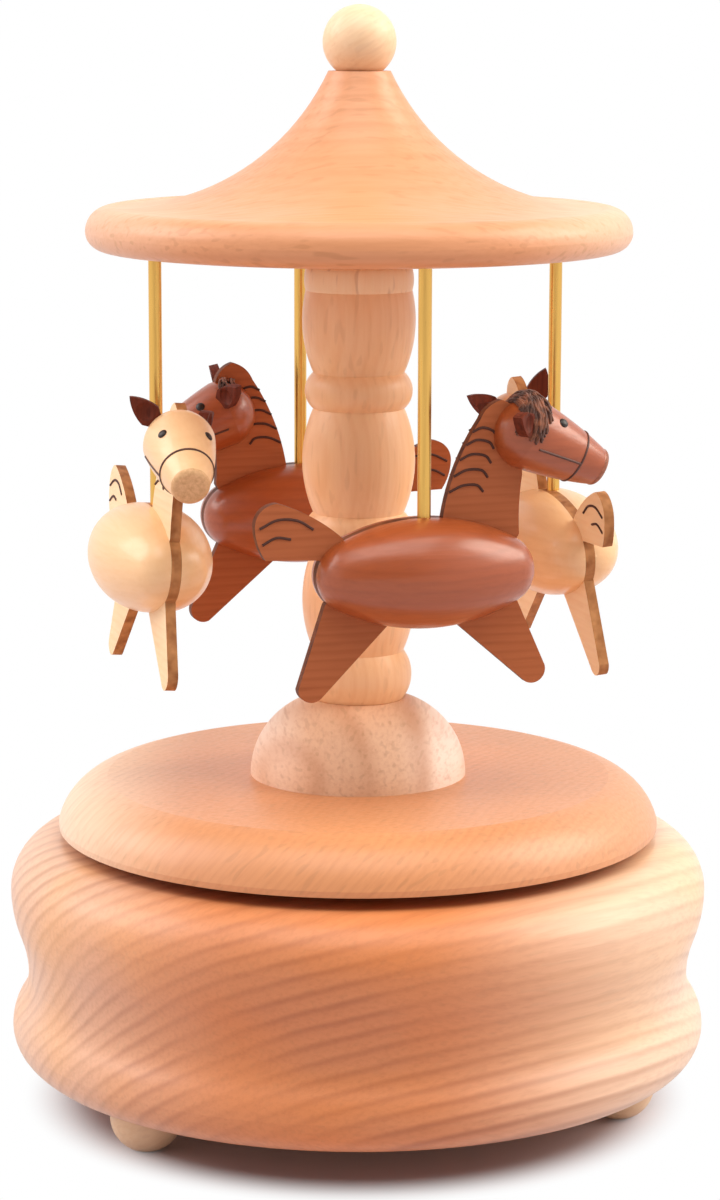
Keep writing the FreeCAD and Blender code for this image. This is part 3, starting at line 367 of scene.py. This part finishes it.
def worked_metal(name, colour, rough, mark=0.08, pitch=0.4, stretch=(1, 1, 0.04), metallic=1.0):
    """Metal or nylon with marks drawn out along one axis; real marks are finer than this pitch in mm."""
    material, tree, shader = blank_material(name)
    place = add(tree, "ShaderNodeTexCoord").outputs["Object"]
    drawn = add(tree, "ShaderNodeMapping", {"Vector": place, "Scale": stretch}).outputs[0]
    marks = add(tree, "ShaderNodeTexNoise", {"Vector": drawn, "Scale": every(pitch), "Detail": 2.0})
    gloss = add(tree, "ShaderNodeMapRange", {"Value": marks.outputs["Fac"], "From Min": 0.3, "From Max": 0.7,
                                             "To Min": rough - mark, "To Max": rough + mark})
    tree.links.new(gloss.outputs[0], shader.inputs["Roughness"])
    deep = [c * MARK_SHADE for c in rgb(colour)[:3]] + [1.0]
    tone = add(tree, "ShaderNodeMix", {0: marks.outputs["Fac"], MIX_UNDER: rgb(colour), MIX_OVER: deep},
               data_type="RGBA")
    tree.links.new(tone.outputs[2], shader.inputs["Base Color"])
    shader.inputs["Metallic"].default_value = metallic
    return material


FINISHES.update({
    # bright gold, with the room drawn out along the rod
    "pole_brass": worked_metal("polished_brass_rod", "#F2BE66", 0.3, 0.05),
    # duller gold, with turning marks
    "movement_brass": worked_metal("machined_brass", "#C9A255", 0.32),
    # zinc plate: light grey, softly shiny
    "screw_steel": worked_metal("zinc_plated_steel", "#A8A9AB", 0.36),
    # ground steel: a cleaner grey, with fine bright lines
    "arbor_steel": worked_metal("ground_steel", "#9C9DA0", 0.3, stretch=(0.04, 1, 1)),
    # blued by heat: dark bluish grey
    "spring_steel": worked_metal("blued_spring_steel", "#6E7480", 0.3),
    # plated sheet: a warm, even grey
    "bed_metal": worked_metal("plated_steel_sheet", "#B4B2AC", 0.4, stretch=(0.04, 1, 1)),
    # rolled aluminium: the palest grey
    "fan_metal": worked_metal("rolled_aluminium", "#C4C5C7", 0.36),
    # milky and matt
    "washer_plastic": worked_metal("natural_nylon", "#E8E6DC", 0.5, pitch=1.111, stretch=(1, 1, 1),
                                   metallic=0.0),
})
for part in frame["record"]["subparts"]:
    materials = NODES[part["node"]].data.materials
    materials.clear()
    materials.append(FINISHES[part["material_slot"]])
print(len(FINISHES), "finishes on", len(NODES), "nodes")

# %% [markdown]
# ## Where the horses are
# Each horse is drawn on in its own frame: forward along its travel, left towards the column, and up. Its
# marks could be placed straight in the part's frame, but then no horse could share them with the next. The
# body's middle is read from the CAD boxes of its two halves. The head is a turned bullet whose middle and
# tilt differ from horse to horse, because the heads were glued on by hand.

# %% Horse frames
# the head's middle in millimetres from the body's, and its turns in degrees; roll leans the whole horse
HEADS = {
    "front_dark": {"forward": 15.5, "up": 20.2, "tilt": 26.0, "yaw": 0.0, "roll": 0.0},
    "right_light": {"forward": 13.0, "up": 17.2, "tilt": 21.0, "yaw": 0.0, "roll": -5.0},
    "back_dark": {"forward": 13.0, "up": 16.9, "tilt": 26.0, "yaw": 0.0, "roll": 0.0},
    "left_light": {"forward": 13.2, "up": 19.1, "tilt": 21.0, "yaw": -5.0, "roll": -4.5},
}
HEAD_LENGTH, HEAD_RADIUS, HEAD_BACK, NOSE_RADIUS, NOSE_ROUND = 18.5, 5.45, 5.0, 2.9, 0.9


def horse_frame(label):
    """A matrix from horse millimetres to the part's metres."""
    boxes = [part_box(f"{label}_body_{side}") for side in ("outer", "inner")]
    middle = Vector([(min(b[0][i] for b in boxes) + max(b[1][i] for b in boxes)) / 2 for i in range(3)])
    left = -Vector((middle.x, middle.y, 0)).normalized()
    up = Vector(UPRIGHT)
    spin = Matrix((left.cross(up), left, up)).transposed().to_4x4()
    lean = Matrix.Rotation(math.radians(HEADS[label]["roll"]), 4, "X")
    return Matrix.Translation(middle) @ spin @ lean @ Matrix.Scale(MM, 4)


def head_frame(label):
    """A matrix from head millimetres (along, left, up from the head's back) to the part's metres."""
    head = HEADS[label]
    yaw = Matrix.Rotation(math.radians(head["yaw"]), 4, "Z")
    tilt = Matrix.Rotation(math.radians(head["tilt"]), 4, "Y")
    to_middle = Matrix.Translation((head["forward"], 0, head["up"]))
    to_back = Matrix.Translation((-HEAD_BACK, 0, 0))
    return horse_frame(label) @ to_middle @ yaw @ tilt @ to_back


for label in HEADS:
    print(label, [round(v / MM, 1) for v in horse_frame(label).translation])

# %% [markdown]
# What lies on a head has to follow its skin. The skin could be found by casting rays at the mesh, but the
# head is a turned form, so a formula for its radius is exact and quick: a ball at the back, then a taper
# that swells a little on its way to the nose.

# %% The head's skin
# how far the side stands out past a straight taper, halfway along, in millimetres
HEAD_SWELL = 0.344


def head_radius(along):
    """The turned head's radius at a distance from its back."""
    ball = (HEAD_RADIUS ** 2 + HEAD_BACK ** 2) / 2 / HEAD_BACK
    if along < HEAD_BACK:
        return math.sqrt(max(ball ** 2 - (along - ball) ** 2, 0))
    share = min((along - HEAD_BACK) / (HEAD_LENGTH - NOSE_ROUND - HEAD_BACK), 1)
    return HEAD_RADIUS + (NOSE_RADIUS - HEAD_RADIUS) * share + 4 * HEAD_SWELL * share * (1 - share)


def on_head(along, angle, proud=0.0):
    """A point of the head's skin; angle 0 is its crown and 90 its left cheek."""
    reach = head_radius(along) + proud
    return Vector((along, reach * math.sin(math.radians(angle)), reach * math.cos(math.radians(angle))))


print("radius at mid-head", round(head_radius(HEAD_LENGTH / 2), 2), "mm")

# %% [markdown]
# ## Burnt and painted lines
# Mane, tail and bridle are lines about 0.4 mm wide, burnt or painted on. A line could be a
# texture, but a fine bead that follows the skin keeps its edge at any zoom. The points of each line are
# worked out on the skin and joined as loose edges, and one Geometry Nodes tree gives them a round
# section.

# %% Line tree


def piece_tree(name):
    """A Geometry Nodes tree with inputs for a seed mesh, a radius in metres and a material."""
    tree = bpy.data.node_groups.new(name, "GeometryNodeTree")
    for socket, kind in (("Geometry", "NodeSocketGeometry"), ("Radius", "NodeSocketFloat"),
                         ("Material", "NodeSocketMaterial")):
        tree.interface.new_socket(socket, in_out="INPUT", socket_type=kind)
    tree.interface.new_socket("Geometry", in_out="OUTPUT", socket_type="NodeSocketGeometry")
    return tree, add(tree, "NodeGroupInput").outputs


def end_tree(tree, shape, given):
    """Ends a tree with real geometry in its material."""
    whole = add(tree, "GeometryNodeRealizeInstances", {"Geometry": shape})
    painted = add(tree, "GeometryNodeSetMaterial", {"Geometry": whole.outputs[0],
                                                    "Material": given["Material"]})
    add(tree, "NodeGroupOutput", {"Geometry": painted.outputs[0]})


LINES, given = piece_tree("drawn_line")
path = add(LINES, "GeometryNodeMeshToCurve", {"Mesh": given["Geometry"]})
section = add(LINES, "GeometryNodeCurvePrimitiveCircle", {"Resolution": 8, "Radius": given["Radius"]})
bead = add(LINES, "GeometryNodeCurveToMesh", {"Curve": path.outputs[0], "Profile Curve": section.outputs[0],
                                              "Fill Caps": True})
end_tree(LINES, bead.outputs[0], given)
print(len(LINES.nodes), "nodes in the line tree")

# %% [markdown]
# A tree runs as a modifier on a seed mesh. The export needs plain meshes, so the evaluated result
# replaces the seed, and the modifier goes before the piece is put on its body.

# %% Line maker


def settle(name, seed, tree, values, body):
    """Runs a Geometry Nodes tree on a seed mesh and keeps the result as a plain mesh on one body."""
    piece = bpy.data.objects.new(name, seed)
    bpy.context.scene.collection.objects.link(piece)
    modifier = piece.modifiers.new("grow", "NODES")
    modifier.node_group = tree
    sockets = {item.name: item.identifier for item in tree.interface.items_tree if item.in_out == "INPUT"}
    for key, value in values.items():
        modifier[sockets[key]] = value
    mesh = bpy.data.meshes.new_from_object(piece.evaluated_get(bpy.context.evaluated_depsgraph_get()))
    piece.modifiers.clear()
    piece.data = mesh
    mesh.shade_smooth()
    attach(piece, body)
    print(name, len(mesh.polygons), "faces")


def strokes(name, paths, radius, material):
    """Draws many paths (in metres) as one piece; the radius is in millimetres."""
    vertices, edges = [], []
    for path in paths:
        start = len(vertices)
        vertices += [tuple(point) for point in path]
        edges += [(start + i, start + i + 1) for i in range(len(path) - 1)]
    seed = bpy.data.meshes.new(f"{name}_seed")
    seed.from_pydata(vertices, edges, [])
    settle(name, seed, LINES, {"Radius": radius * MM, "Material": material}, "carousel")


def smooth_path(points, steps=6):
    """A rounded path through a few control points."""
    points = [Vector(p) for p in points]
    ends = [points[0] * 2 - points[1]] + points + [points[-1] * 2 - points[-2]]
    path = []
    for i in range(1, len(ends) - 2):
        a, b, c, d = ends[i - 1:i + 3]
        for k in range(steps):
            t = k / steps
            path.append(0.5 * (2 * b + (c - a) * t + (2 * a - 5 * b + 4 * c - d) * t ** 2
                               + (3 * b - a - 3 * c + d) * t ** 3))
    return path + [points[-1]]


print("line maker ready")

# %% [markdown]
# ## Manes and tails
# Both are burnt into the flat board, on its two faces. Each mane line leaves the dark edge of the neck
# and hooks down, and each tail carries two long arcs. The control points are in the horse's own frame, so
# that one list serves all four horses.

# %% Manes and tails
INK_WEAR = 1.9
BOARD_FACE, LINE_RADIUS = 0.8, 0.2
# control points, (forward, up) in millimetres
MANE = [((3.6, 11.8), (5.7, 12.7), (7.9, 12.7), (8.9, 11.7)),
        ((4.3, 14.1), (6.3, 15.0), (8.6, 14.9), (9.6, 13.8)),
        ((5.2, 16.5), (7.1, 17.3), (9.2, 17.0), (10.1, 15.9)),
        ((6.2, 18.7), (7.9, 19.4), (9.8, 19.0), (10.5, 18.0)),
        ((7.2, 20.6), (8.7, 21.2), (10.3, 20.7), (10.9, 19.8))]
TAIL = [((-25.3, 7.6), (-22.6, 8.8), (-19.6, 8.6), (-17.2, 7.2)),
        ((-24.9, 5.2), (-22.8, 6.2), (-20.6, 5.9))]


def ink(name, colour, rough):
    """Dark paint or scorched wood, worn paler in spots about half a millimetre wide."""
    material, tree, shader = blank_material(name)
    place = add(tree, "ShaderNodeTexCoord").outputs["Object"]
    mottle = add(tree, "ShaderNodeTexNoise", {"Vector": place, "Scale": every(1.111), "Detail": 2.0})
    worn = [min(c * INK_WEAR, 1) for c in rgb(colour)[:3]] + [1.0]
    tone = add(tree, "ShaderNodeMix", {0: mottle.outputs["Fac"], MIX_UNDER: rgb(colour), MIX_OVER: worn},
               data_type="RGBA")
    tree.links.new(tone.outputs[2], shader.inputs["Base Color"])
    shader.inputs["Roughness"].default_value = rough
    return material


drawn_lines = []
for label in HEADS:
    to_part = horse_frame(label)
    for side in (-1, 1):
        for line in MANE + TAIL:
            points = smooth_path([(forward, side * BOARD_FACE, up) for forward, up in line])
            drawn_lines.append([to_part @ point for point in points])
# charred wood: matt, nearly black
strokes("mane_and_tail_lines", drawn_lines, LINE_RADIUS, ink("scorched_line", "#3A190D", 0.7))

# %% [markdown]
# ## Bridles
# A bridle is one painted ring round the muzzle and a strap back along each cheek. It could be a thin
# strip of mesh, but the same line tree draws it from points on the head's skin.

# %% Bridles
NOSEBAND, CHEEK_END, BRIDLE_RADIUS = 13.8, 6.4, 0.19
CHEEK_ANGLE, CHEEK_RISE, CHEEK_STEPS = 101, 6, 12
bridle = []
for label in HEADS:
    to_part = head_frame(label)
    bridle.append([to_part @ on_head(NOSEBAND, angle) for angle in range(-180, 181, 10)])
    for side in (-1, 1):
        shares = [k / CHEEK_STEPS for k in range(CHEEK_STEPS + 1)]
        bridle.append([to_part @ on_head(NOSEBAND + (CHEEK_END - NOSEBAND) * share,
                                         side * (CHEEK_ANGLE + CHEEK_RISE * share)) for share in shares])
# brown paint: a little gloss
strokes("bridles", bridle, BRIDLE_RADIUS, ink("painted_bridle", "#47261C", 0.45))

# %% [markdown]
# ## Eyes
# The eyes are small black drops of paint that stand slightly proud. Each could be modelled by itself, but
# all eight are the same flattened bead, so Geometry Nodes sets one on each point with its flat side along
# the skin.

# %% Eye tree
EYE_FLATNESS = 0.5
EYES, given = piece_tree("set_beads")
drop = add(EYES, "GeometryNodeMeshUVSphere", {"Segments": 20, "Rings": 12, "Radius": given["Radius"]})
out = add(EYES, "GeometryNodeInputNamedAttribute", {"Name": "out"}, data_type="FLOAT_VECTOR")
face = add(EYES, "FunctionNodeAlignRotationToVector", {"Vector": out.outputs[0]}, axis="Z")
points = add(EYES, "GeometryNodeMeshToPoints", {"Mesh": given["Geometry"]})
spread = add(EYES, "GeometryNodeInstanceOnPoints", {"Points": points.outputs[0], "Instance": drop.outputs[0],
                                                    "Rotation": face.outputs[0],
                                                    "Scale": (1, 1, EYE_FLATNESS)})
end_tree(EYES, spread.outputs[0], given)
print(len(EYES.nodes), "nodes in the eye tree")

# %% [markdown]
# Each eye sits high on the cheek, about halfway along the head. Its turn could be worked out as three
# angles, but a direction from the skin outwards is easier to read, and the tree turns the bead to it.

# %% Eyes
EYE_ALONG, EYE_ANGLE, EYE_RADIUS = 8.7, 44.0, 0.75
eye_points, eye_out = [], []
for label in HEADS:
    to_part = head_frame(label)
    for side in (-1, 1):
        skin = to_part @ on_head(EYE_ALONG, side * EYE_ANGLE)
        eye_points.append(tuple(skin))
        eye_out.extend((to_part @ on_head(EYE_ALONG, side * EYE_ANGLE, 1.0) - skin).normalized())
# the direction of each eye rides on its vertex as an attribute
eye_seed = bpy.data.meshes.new("eye_seed")
eye_seed.from_pydata(eye_points, [], [])
eye_seed.attributes.new("out", "FLOAT_VECTOR", "POINT").data.foreach_set("vector", eye_out)
# black paint: a soft gloss that catches one light
eye_look = {"Radius": EYE_RADIUS * MM, "Material": ink("eye_paint", "#1C1411", 0.4)}
settle("eyes", eye_seed, EYES, eye_look, "carousel")

# %% [markdown]
# ## Noses
# The end of each muzzle shows end grain, a darker tan disc full of pores. It could be a face of the head
# with its own finish, but the head is one CAD node. So it is a thin cap that wraps the rounded end, made
# by turning a short profile about the head's axis.

# %% Turning


def turned(name, to_part, profile, around, material):
    """A form turned about the x axis of a frame from (along, radius) points, closed at both ends."""
    vertices = []
    for along, reach in profile:
        for i in range(around):
            angle = 2 * math.pi * i / around
            point = Vector((along, reach * math.cos(angle), reach * math.sin(angle)))
            vertices.append(tuple(to_part @ point))
    faces = []
    for low in range(0, (len(profile) - 1) * around, around):
        high = low + around
        faces += [(low + i, low + (i + 1) % around, high + (i + 1) % around, high + i) for i in range(around)]
    faces.append(tuple(range((len(profile) - 1) * around, len(profile) * around)))
    faces.append(tuple(reversed(range(around))))
    mesh = bpy.data.meshes.new(name)
    mesh.from_pydata(vertices, [], faces)
    mesh.materials.append(material)
    mesh.shade_smooth()
    piece = bpy.data.objects.new(name, mesh)
    bpy.context.scene.collection.objects.link(piece)
    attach(piece, "carousel")
    print(name, len(faces), "faces")


print("turning ready")

# %% [markdown]
# The cap's profile is a quarter round that stands a twentieth of a millimetre proud. It could lie on the
# skin itself, but two surfaces in one place flicker when they are drawn.

# %% Noses
CAP_PROUD, CAP_INSET, CAP_STEPS, CAP_SIDES = 0.05, 0.02, 6, 40


def end_grain(name, pale, deep, rough):
    """Cut end grain: matt and speckled; pores are drawn 0.3 mm wide, coarser than real ones, to show."""
    material, tree, shader = blank_material(name)
    place = add(tree, "ShaderNodeTexCoord").outputs["Object"]
    pore = add(tree, "ShaderNodeTexNoise", {"Vector": place, "Scale": every(0.5882), "Detail": 3.0,
                                            "Roughness": 0.7}).outputs["Fac"]
    tree.links.new(tint(tree, rgb(pale), pore, (0.35, 0.7), 1.0, deep), shader.inputs["Base Color"])
    shader.inputs["Roughness"].default_value = rough
    bump = add(tree, "ShaderNodeBump", {"Height": pore, "Strength": 0.2, "Distance": 0.2 * MM})
    tree.links.new(bump.outputs[0], shader.inputs["Normal"])
    return material


# a quarter round, whose first point sinks into the skin
cap = []
for k in range(CAP_STEPS + 1):
    bend = math.pi / 2 * k / CAP_STEPS
    cap.append((HEAD_LENGTH - NOSE_ROUND + (NOSE_ROUND + CAP_PROUD) * math.sin(bend),
                NOSE_RADIUS - NOSE_ROUND + (NOSE_ROUND + CAP_PROUD) * math.cos(bend)))
cap[0] = (cap[0][0], NOSE_RADIUS - CAP_INSET)
# bare wood cut across: a duller and darker disc than the lacquer round it
ENDS = {"light_turned": end_grain("end_grain_natural", "#E2B787", "#C99A68", 0.6),
        "dark_turned": end_grain("end_grain_stained", "#A5684C", "#7A432C", 0.55)}
for label in HEADS:
    wood = "dark_turned" if label.endswith("dark") else "light_turned"
    turned(f"{label}_nose_end", head_frame(label), cap, CAP_SIDES, ENDS[wood])

# %% [markdown]
# ## Bead under the roof
# A pale bead closes the column's top, where it meets the roof. It could be part of the column's own
# turning. Here it is a narrow band on the column's shoulder, because it gets a paler tone than the column,
# a painted highlight that keeps it bright in the roof's shade, and it is made from its profile in the same
# way as the noses.

# %% Top bead
BEAD_LOW, BEAD_HIGH, BEAD_RADIUS, BEAD_BULGE = 128.0, 132.4, 7.9, 0.6
BEAD_STEPS, BEAD_SIDES = 12, 96
x_to_z = Matrix.Rotation(math.radians(-90), 4, "Y") @ Matrix.Scale(MM, 4)
band = []
for k in range(BEAD_STEPS + 1):
    share = k / BEAD_STEPS
    swell = math.sqrt(math.sin(math.pi * share))
    band.append((BEAD_LOW + (BEAD_HIGH - BEAD_LOW) * share, BEAD_RADIUS + BEAD_BULGE * swell))
# lightly lacquered beech, painted paler than the column: a painted highlight against the roof's shade
bead_wood = beech("beech_bead_painted_highlight", "#FFE2B8", "#F8CC94", UPRIGHT, (0.8, 0.6, 0), 1.6, contrast=0.3,
                  coat=0.1)[0]
turned("column_top_bead", x_to_z, band, BEAD_SIDES, bead_wood)

# %% [markdown]
# ## Forelocks
# The stained horses have a tuft of brown wool glued between the ears, combed down over one side of the
# head. It could be a hair system, but a hundred modelled strands export as plain mesh. Each strand runs
# over the head's skin from the poll towards the cheek, with its own sway and lift, and the line tree
# gives it a round section.

# %% Strands of wool
STRAND_STEPS, STRAND_RADIUS, STRAND_CLEAR = 10, 0.2, 0.1
SWAY_WAVES, DRIFT_WAVES, DRIFT = 7, 9, 0.25
# along the head in millimetres and round it in degrees; a tip's own reach and fall end its ranges
ROOT_ALONG, ROOT_ANGLE = (0.6, 3.2), (-32, 12)
TIP_ALONG, TIP_ANGLE = 1.8, 8
LIFT, SWAY = (0.2, 0.9), (3, 9)


def wool_finish(name, deep, pale):
    """Brown wool: soft and dull, with paler locks about 0.8 mm wide, as single hairs are too fine to show."""
    material, tree, shader = blank_material(name)
    place = add(tree, "ShaderNodeTexCoord").outputs["Object"]
    strand = add(tree, "ShaderNodeTexNoise", {"Vector": place, "Scale": every(1.613), "Detail": 2.0})
    tone = tint(tree, rgb(deep), strand.outputs["Fac"], (0.42, 0.68), 1.0, pale)
    tree.links.new(tone, shader.inputs["Base Color"])
    shader.inputs["Roughness"].default_value = 0.75
    shader.inputs["Sheen Weight"].default_value = 0.3
    return material


def strand_of_wool(chance, near, reach, fall):
    """One strand on the head's skin, from the poll down its near side."""
    start, end = chance.uniform(*ROOT_ALONG), chance.uniform(TIP_ALONG, reach)
    crown, cheek = chance.uniform(*ROOT_ANGLE), chance.uniform(TIP_ANGLE, fall)
    lift, sway, phase = chance.uniform(*LIFT), chance.uniform(*SWAY), chance.uniform(0, 6.28)
    strand = []
    for k in range(STRAND_STEPS + 1):
        share = k / STRAND_STEPS
        angle = crown + (cheek - crown) * share ** 0.8 + sway * math.sin(phase + SWAY_WAVES * share)
        along = start + (end - start) * share + DRIFT * math.sin(phase + DRIFT_WAVES * share)
        strand.append(on_head(along, near * angle, STRAND_CLEAR + lift * math.sin(math.pi * share ** 0.7)))
    return strand


print("wool ready")

# %% [markdown]
# The front horse shows its tuft to the camera, so it has about a hundred strands. The tuft at the back is
# half hidden and needs only a few. Both could be the same, but strands that nobody sees only make the
# file heavier.

# %% Forelocks
# the side that shows, the number of strands, how far forward they reach and how far down they fall
TUFTS = {"front_dark": (-1, 96, 6.6, 100), "back_dark": (1, 14, 5.4, 66)}
chance = random.Random(5)
tuft = []
for label, (near, strands, reach, fall) in TUFTS.items():
    to_part = head_frame(label)
    for _ in range(strands):
        tuft.append([to_part @ point for point in strand_of_wool(chance, near, reach, fall)])
strokes("forelocks", tuft, STRAND_RADIUS, wool_finish("brown_wool", "#45200F", "#8E5232"))

# %% [markdown]
# ## Floor
# A catalogue shot has a white floor that runs out of the picture. Extra light could bleach it, but that
# would bleach the object too. So close to the object the floor is a pinkish grey paint, a painted shadow
# that darkens and tints the real shadow it takes. Further out it turns into the pure white of a lit
# backdrop, but only for the camera and for mirrored or see-through rays.

# %% Floor
# from the floor's middle to its sides, in metres
FLOOR = 20.0
# where the painted shadow ends and the white begins, in metres
SHADOW_END, WHITE_START = 42 * MM, 54 * MM


def seen_straight(tree):
    """1 for rays from the camera, from a mirror or through a clear piece, and 0 for scattered light."""
    ray = add(tree, "ShaderNodeLightPath").outputs
    mirrored = add(tree, "ShaderNodeMath", {0: ray["Is Camera Ray"], 1: ray["Is Glossy Ray"]},
                   operation="MAXIMUM")
    straight = add(tree, "ShaderNodeMath", {0: mirrored.outputs[0], 1: ray["Is Transmission Ray"]},
                   operation="MAXIMUM")
    return straight.outputs[0]


corners = [(-FLOOR, -FLOOR, 0), (FLOOR, -FLOOR, 0), (FLOOR, FLOOR, 0), (-FLOOR, FLOOR, 0)]
floor_mesh = bpy.data.meshes.new("floor")
floor_mesh.from_pydata(corners, [], [(0, 1, 2, 3)])
floor = bpy.data.objects.new("floor", floor_mesh)
bpy.context.scene.collection.objects.link(floor)
# matt pinkish grey paint near the object: a painted shadow under the real soft one, and no reflection
floor_painted_shadow, tree, shader = blank_material("floor_painted_shadow")
shader.inputs["Base Color"].default_value = rgb("#CAB8B8")
shader.inputs["Roughness"].default_value = 0.8
shader.inputs["Specular IOR Level"].default_value = 0.1
spot = add(tree, "ShaderNodeTexCoord").outputs["Object"]
away = add(tree, "ShaderNodeVectorMath", {0: spot}, operation="LENGTH")
far = add(tree, "ShaderNodeMapRange", {"Value": away.outputs["Value"], "From Min": SHADOW_END,
                                       "From Max": WHITE_START}, interpolation_type="SMOOTHSTEP")
share = add(tree, "ShaderNodeMath", {0: far.outputs[0], 1: seen_straight(tree)}, operation="MULTIPLY")
glow = add(tree, "ShaderNodeEmission", {"Color": (1, 1, 1, 1), "Strength": 1.0})
both = add(tree, "ShaderNodeMixShader", {0: share.outputs[0], 1: shader.outputs[0], 2: glow.outputs[0]})
tree.links.new(both.outputs[0], tree.nodes["Material Output"].inputs["Surface"])
floor_mesh.materials.append(floor_painted_shadow)
print("floor laid")

# %% [markdown]
# ## Sky and lamps
# The sky is bright at both sides and behind the object, and dim overhead and behind the camera, which is
# what gives turned forms their pale edges and warm middles. One even sky would flatten them. The camera
# itself sees the sky as white.

# %% Sky
world = bpy.data.worlds.new("studio")
bpy.context.scene.world = world
world.use_nodes = True
sky = world.node_tree
sky.nodes.clear()
compass = add(sky, "ShaderNodeSeparateXYZ", {0: add(sky, "ShaderNodeTexCoord").outputs["Generated"]})
sideways = add(sky, "ShaderNodeMath", {0: compass.outputs["X"]}, operation="ABSOLUTE")
around = add(sky, "ShaderNodeMath", {0: sideways.outputs[0], 1: compass.outputs["Y"]}, operation="MAXIMUM")
scattered = add(sky, "ShaderNodeMapRange", {"Value": around.outputs[0], "From Min": 0.2, "From Max": 0.95,
                                            "To Min": 0.26, "To Max": 0.95}, interpolation_type="SMOOTHSTEP")
soft = add(sky, "ShaderNodeBackground", {"Color": rgb("#FFFFFF"), "Strength": scattered.outputs[0]})
# mirrored rays see the white backdrop, and a dim room behind the camera
room = add(sky, "ShaderNodeMapRange", {"Value": around.outputs[0], "From Min": 0.15, "From Max": 0.8,
                                       "To Min": 0.2, "To Max": 1.0}, interpolation_type="SMOOTHSTEP")
to_camera = add(sky, "ShaderNodeLightPath").outputs["Is Camera Ray"]
white = add(sky, "ShaderNodeMath", {0: to_camera, 1: room.outputs[0]}, operation="MAXIMUM")
seen = add(sky, "ShaderNodeBackground", {"Color": rgb("#FFFFFF"), "Strength": white.outputs[0]})
both = add(sky, "ShaderNodeMixShader", {0: seen_straight(sky), 1: soft.outputs[0], 2: seen.outputs[0]})
add(sky, "ShaderNodeOutputWorld", {"Surface": both.outputs[0]})
print(len(sky.nodes), "nodes in the sky")

# %% [markdown]
# Three soft boxes stand about a metre away: one overhead, and one high on each side. Bare bulbs would
# leave hard points on the lacquer, and wide squares of light leave soft ones.

# %% Lamps


def soft_box(name, place, side, watts, colour, aim=(0, 0, 0.09)):
    """A square area light that looks at the middle of the object."""
    data = bpy.data.lights.new(name, "AREA")
    data.size = side
    data.energy = watts
    data.color = rgb(colour)[:3]
    lamp = bpy.data.objects.new(name, data)
    lamp.location = place
    lamp.rotation_euler = (Vector(aim) - Vector(place)).to_track_quat("-Z", "Y").to_euler()
    bpy.context.scene.collection.objects.link(lamp)


soft_box("overhead", (0.0, -0.3, 1.05), 0.8, 6.5, "#FFFAF4")
soft_box("right_bank", (0.85, 0.05, 0.75), 0.7, 9.5, "#FFF4E6")
soft_box("left_bank", (-0.85, 0.05, 0.75), 0.7, 6.5, "#FFF2EE")
print(len(bpy.data.lights), "lamps")

# %% [markdown]
# ## Camera
# The camera stands half a metre away, level with the finial, and looks down ten degrees, so the roof and
# the disc show their tops. The lens could be any, but only this one gives the outlines of the photograph.

# %% Camera
CAMERA_PLACE = (0.26 * MM, -517.8 * MM, 173.5 * MM)
CAMERA_DIP, CAMERA_ROLL, CAMERA_LENS = 10.25, 0.13, 100.5
camera_data = bpy.data.cameras.new("camera")
camera_data.lens = CAMERA_LENS
camera_data.sensor_width = 36.0
camera = bpy.data.objects.new("camera", camera_data)
dip = Matrix.Rotation(math.radians(90 - CAMERA_DIP), 4, "X")
roll = Matrix.Rotation(math.radians(CAMERA_ROLL), 4, "Z")
camera.matrix_world = Matrix.Translation(CAMERA_PLACE) @ dip @ roll
bpy.context.scene.collection.objects.link(camera)
bpy.context.scene.camera = camera
bpy.context.scene.view_settings.view_transform = "Standard"
print("camera looks down", CAMERA_DIP, "degrees")
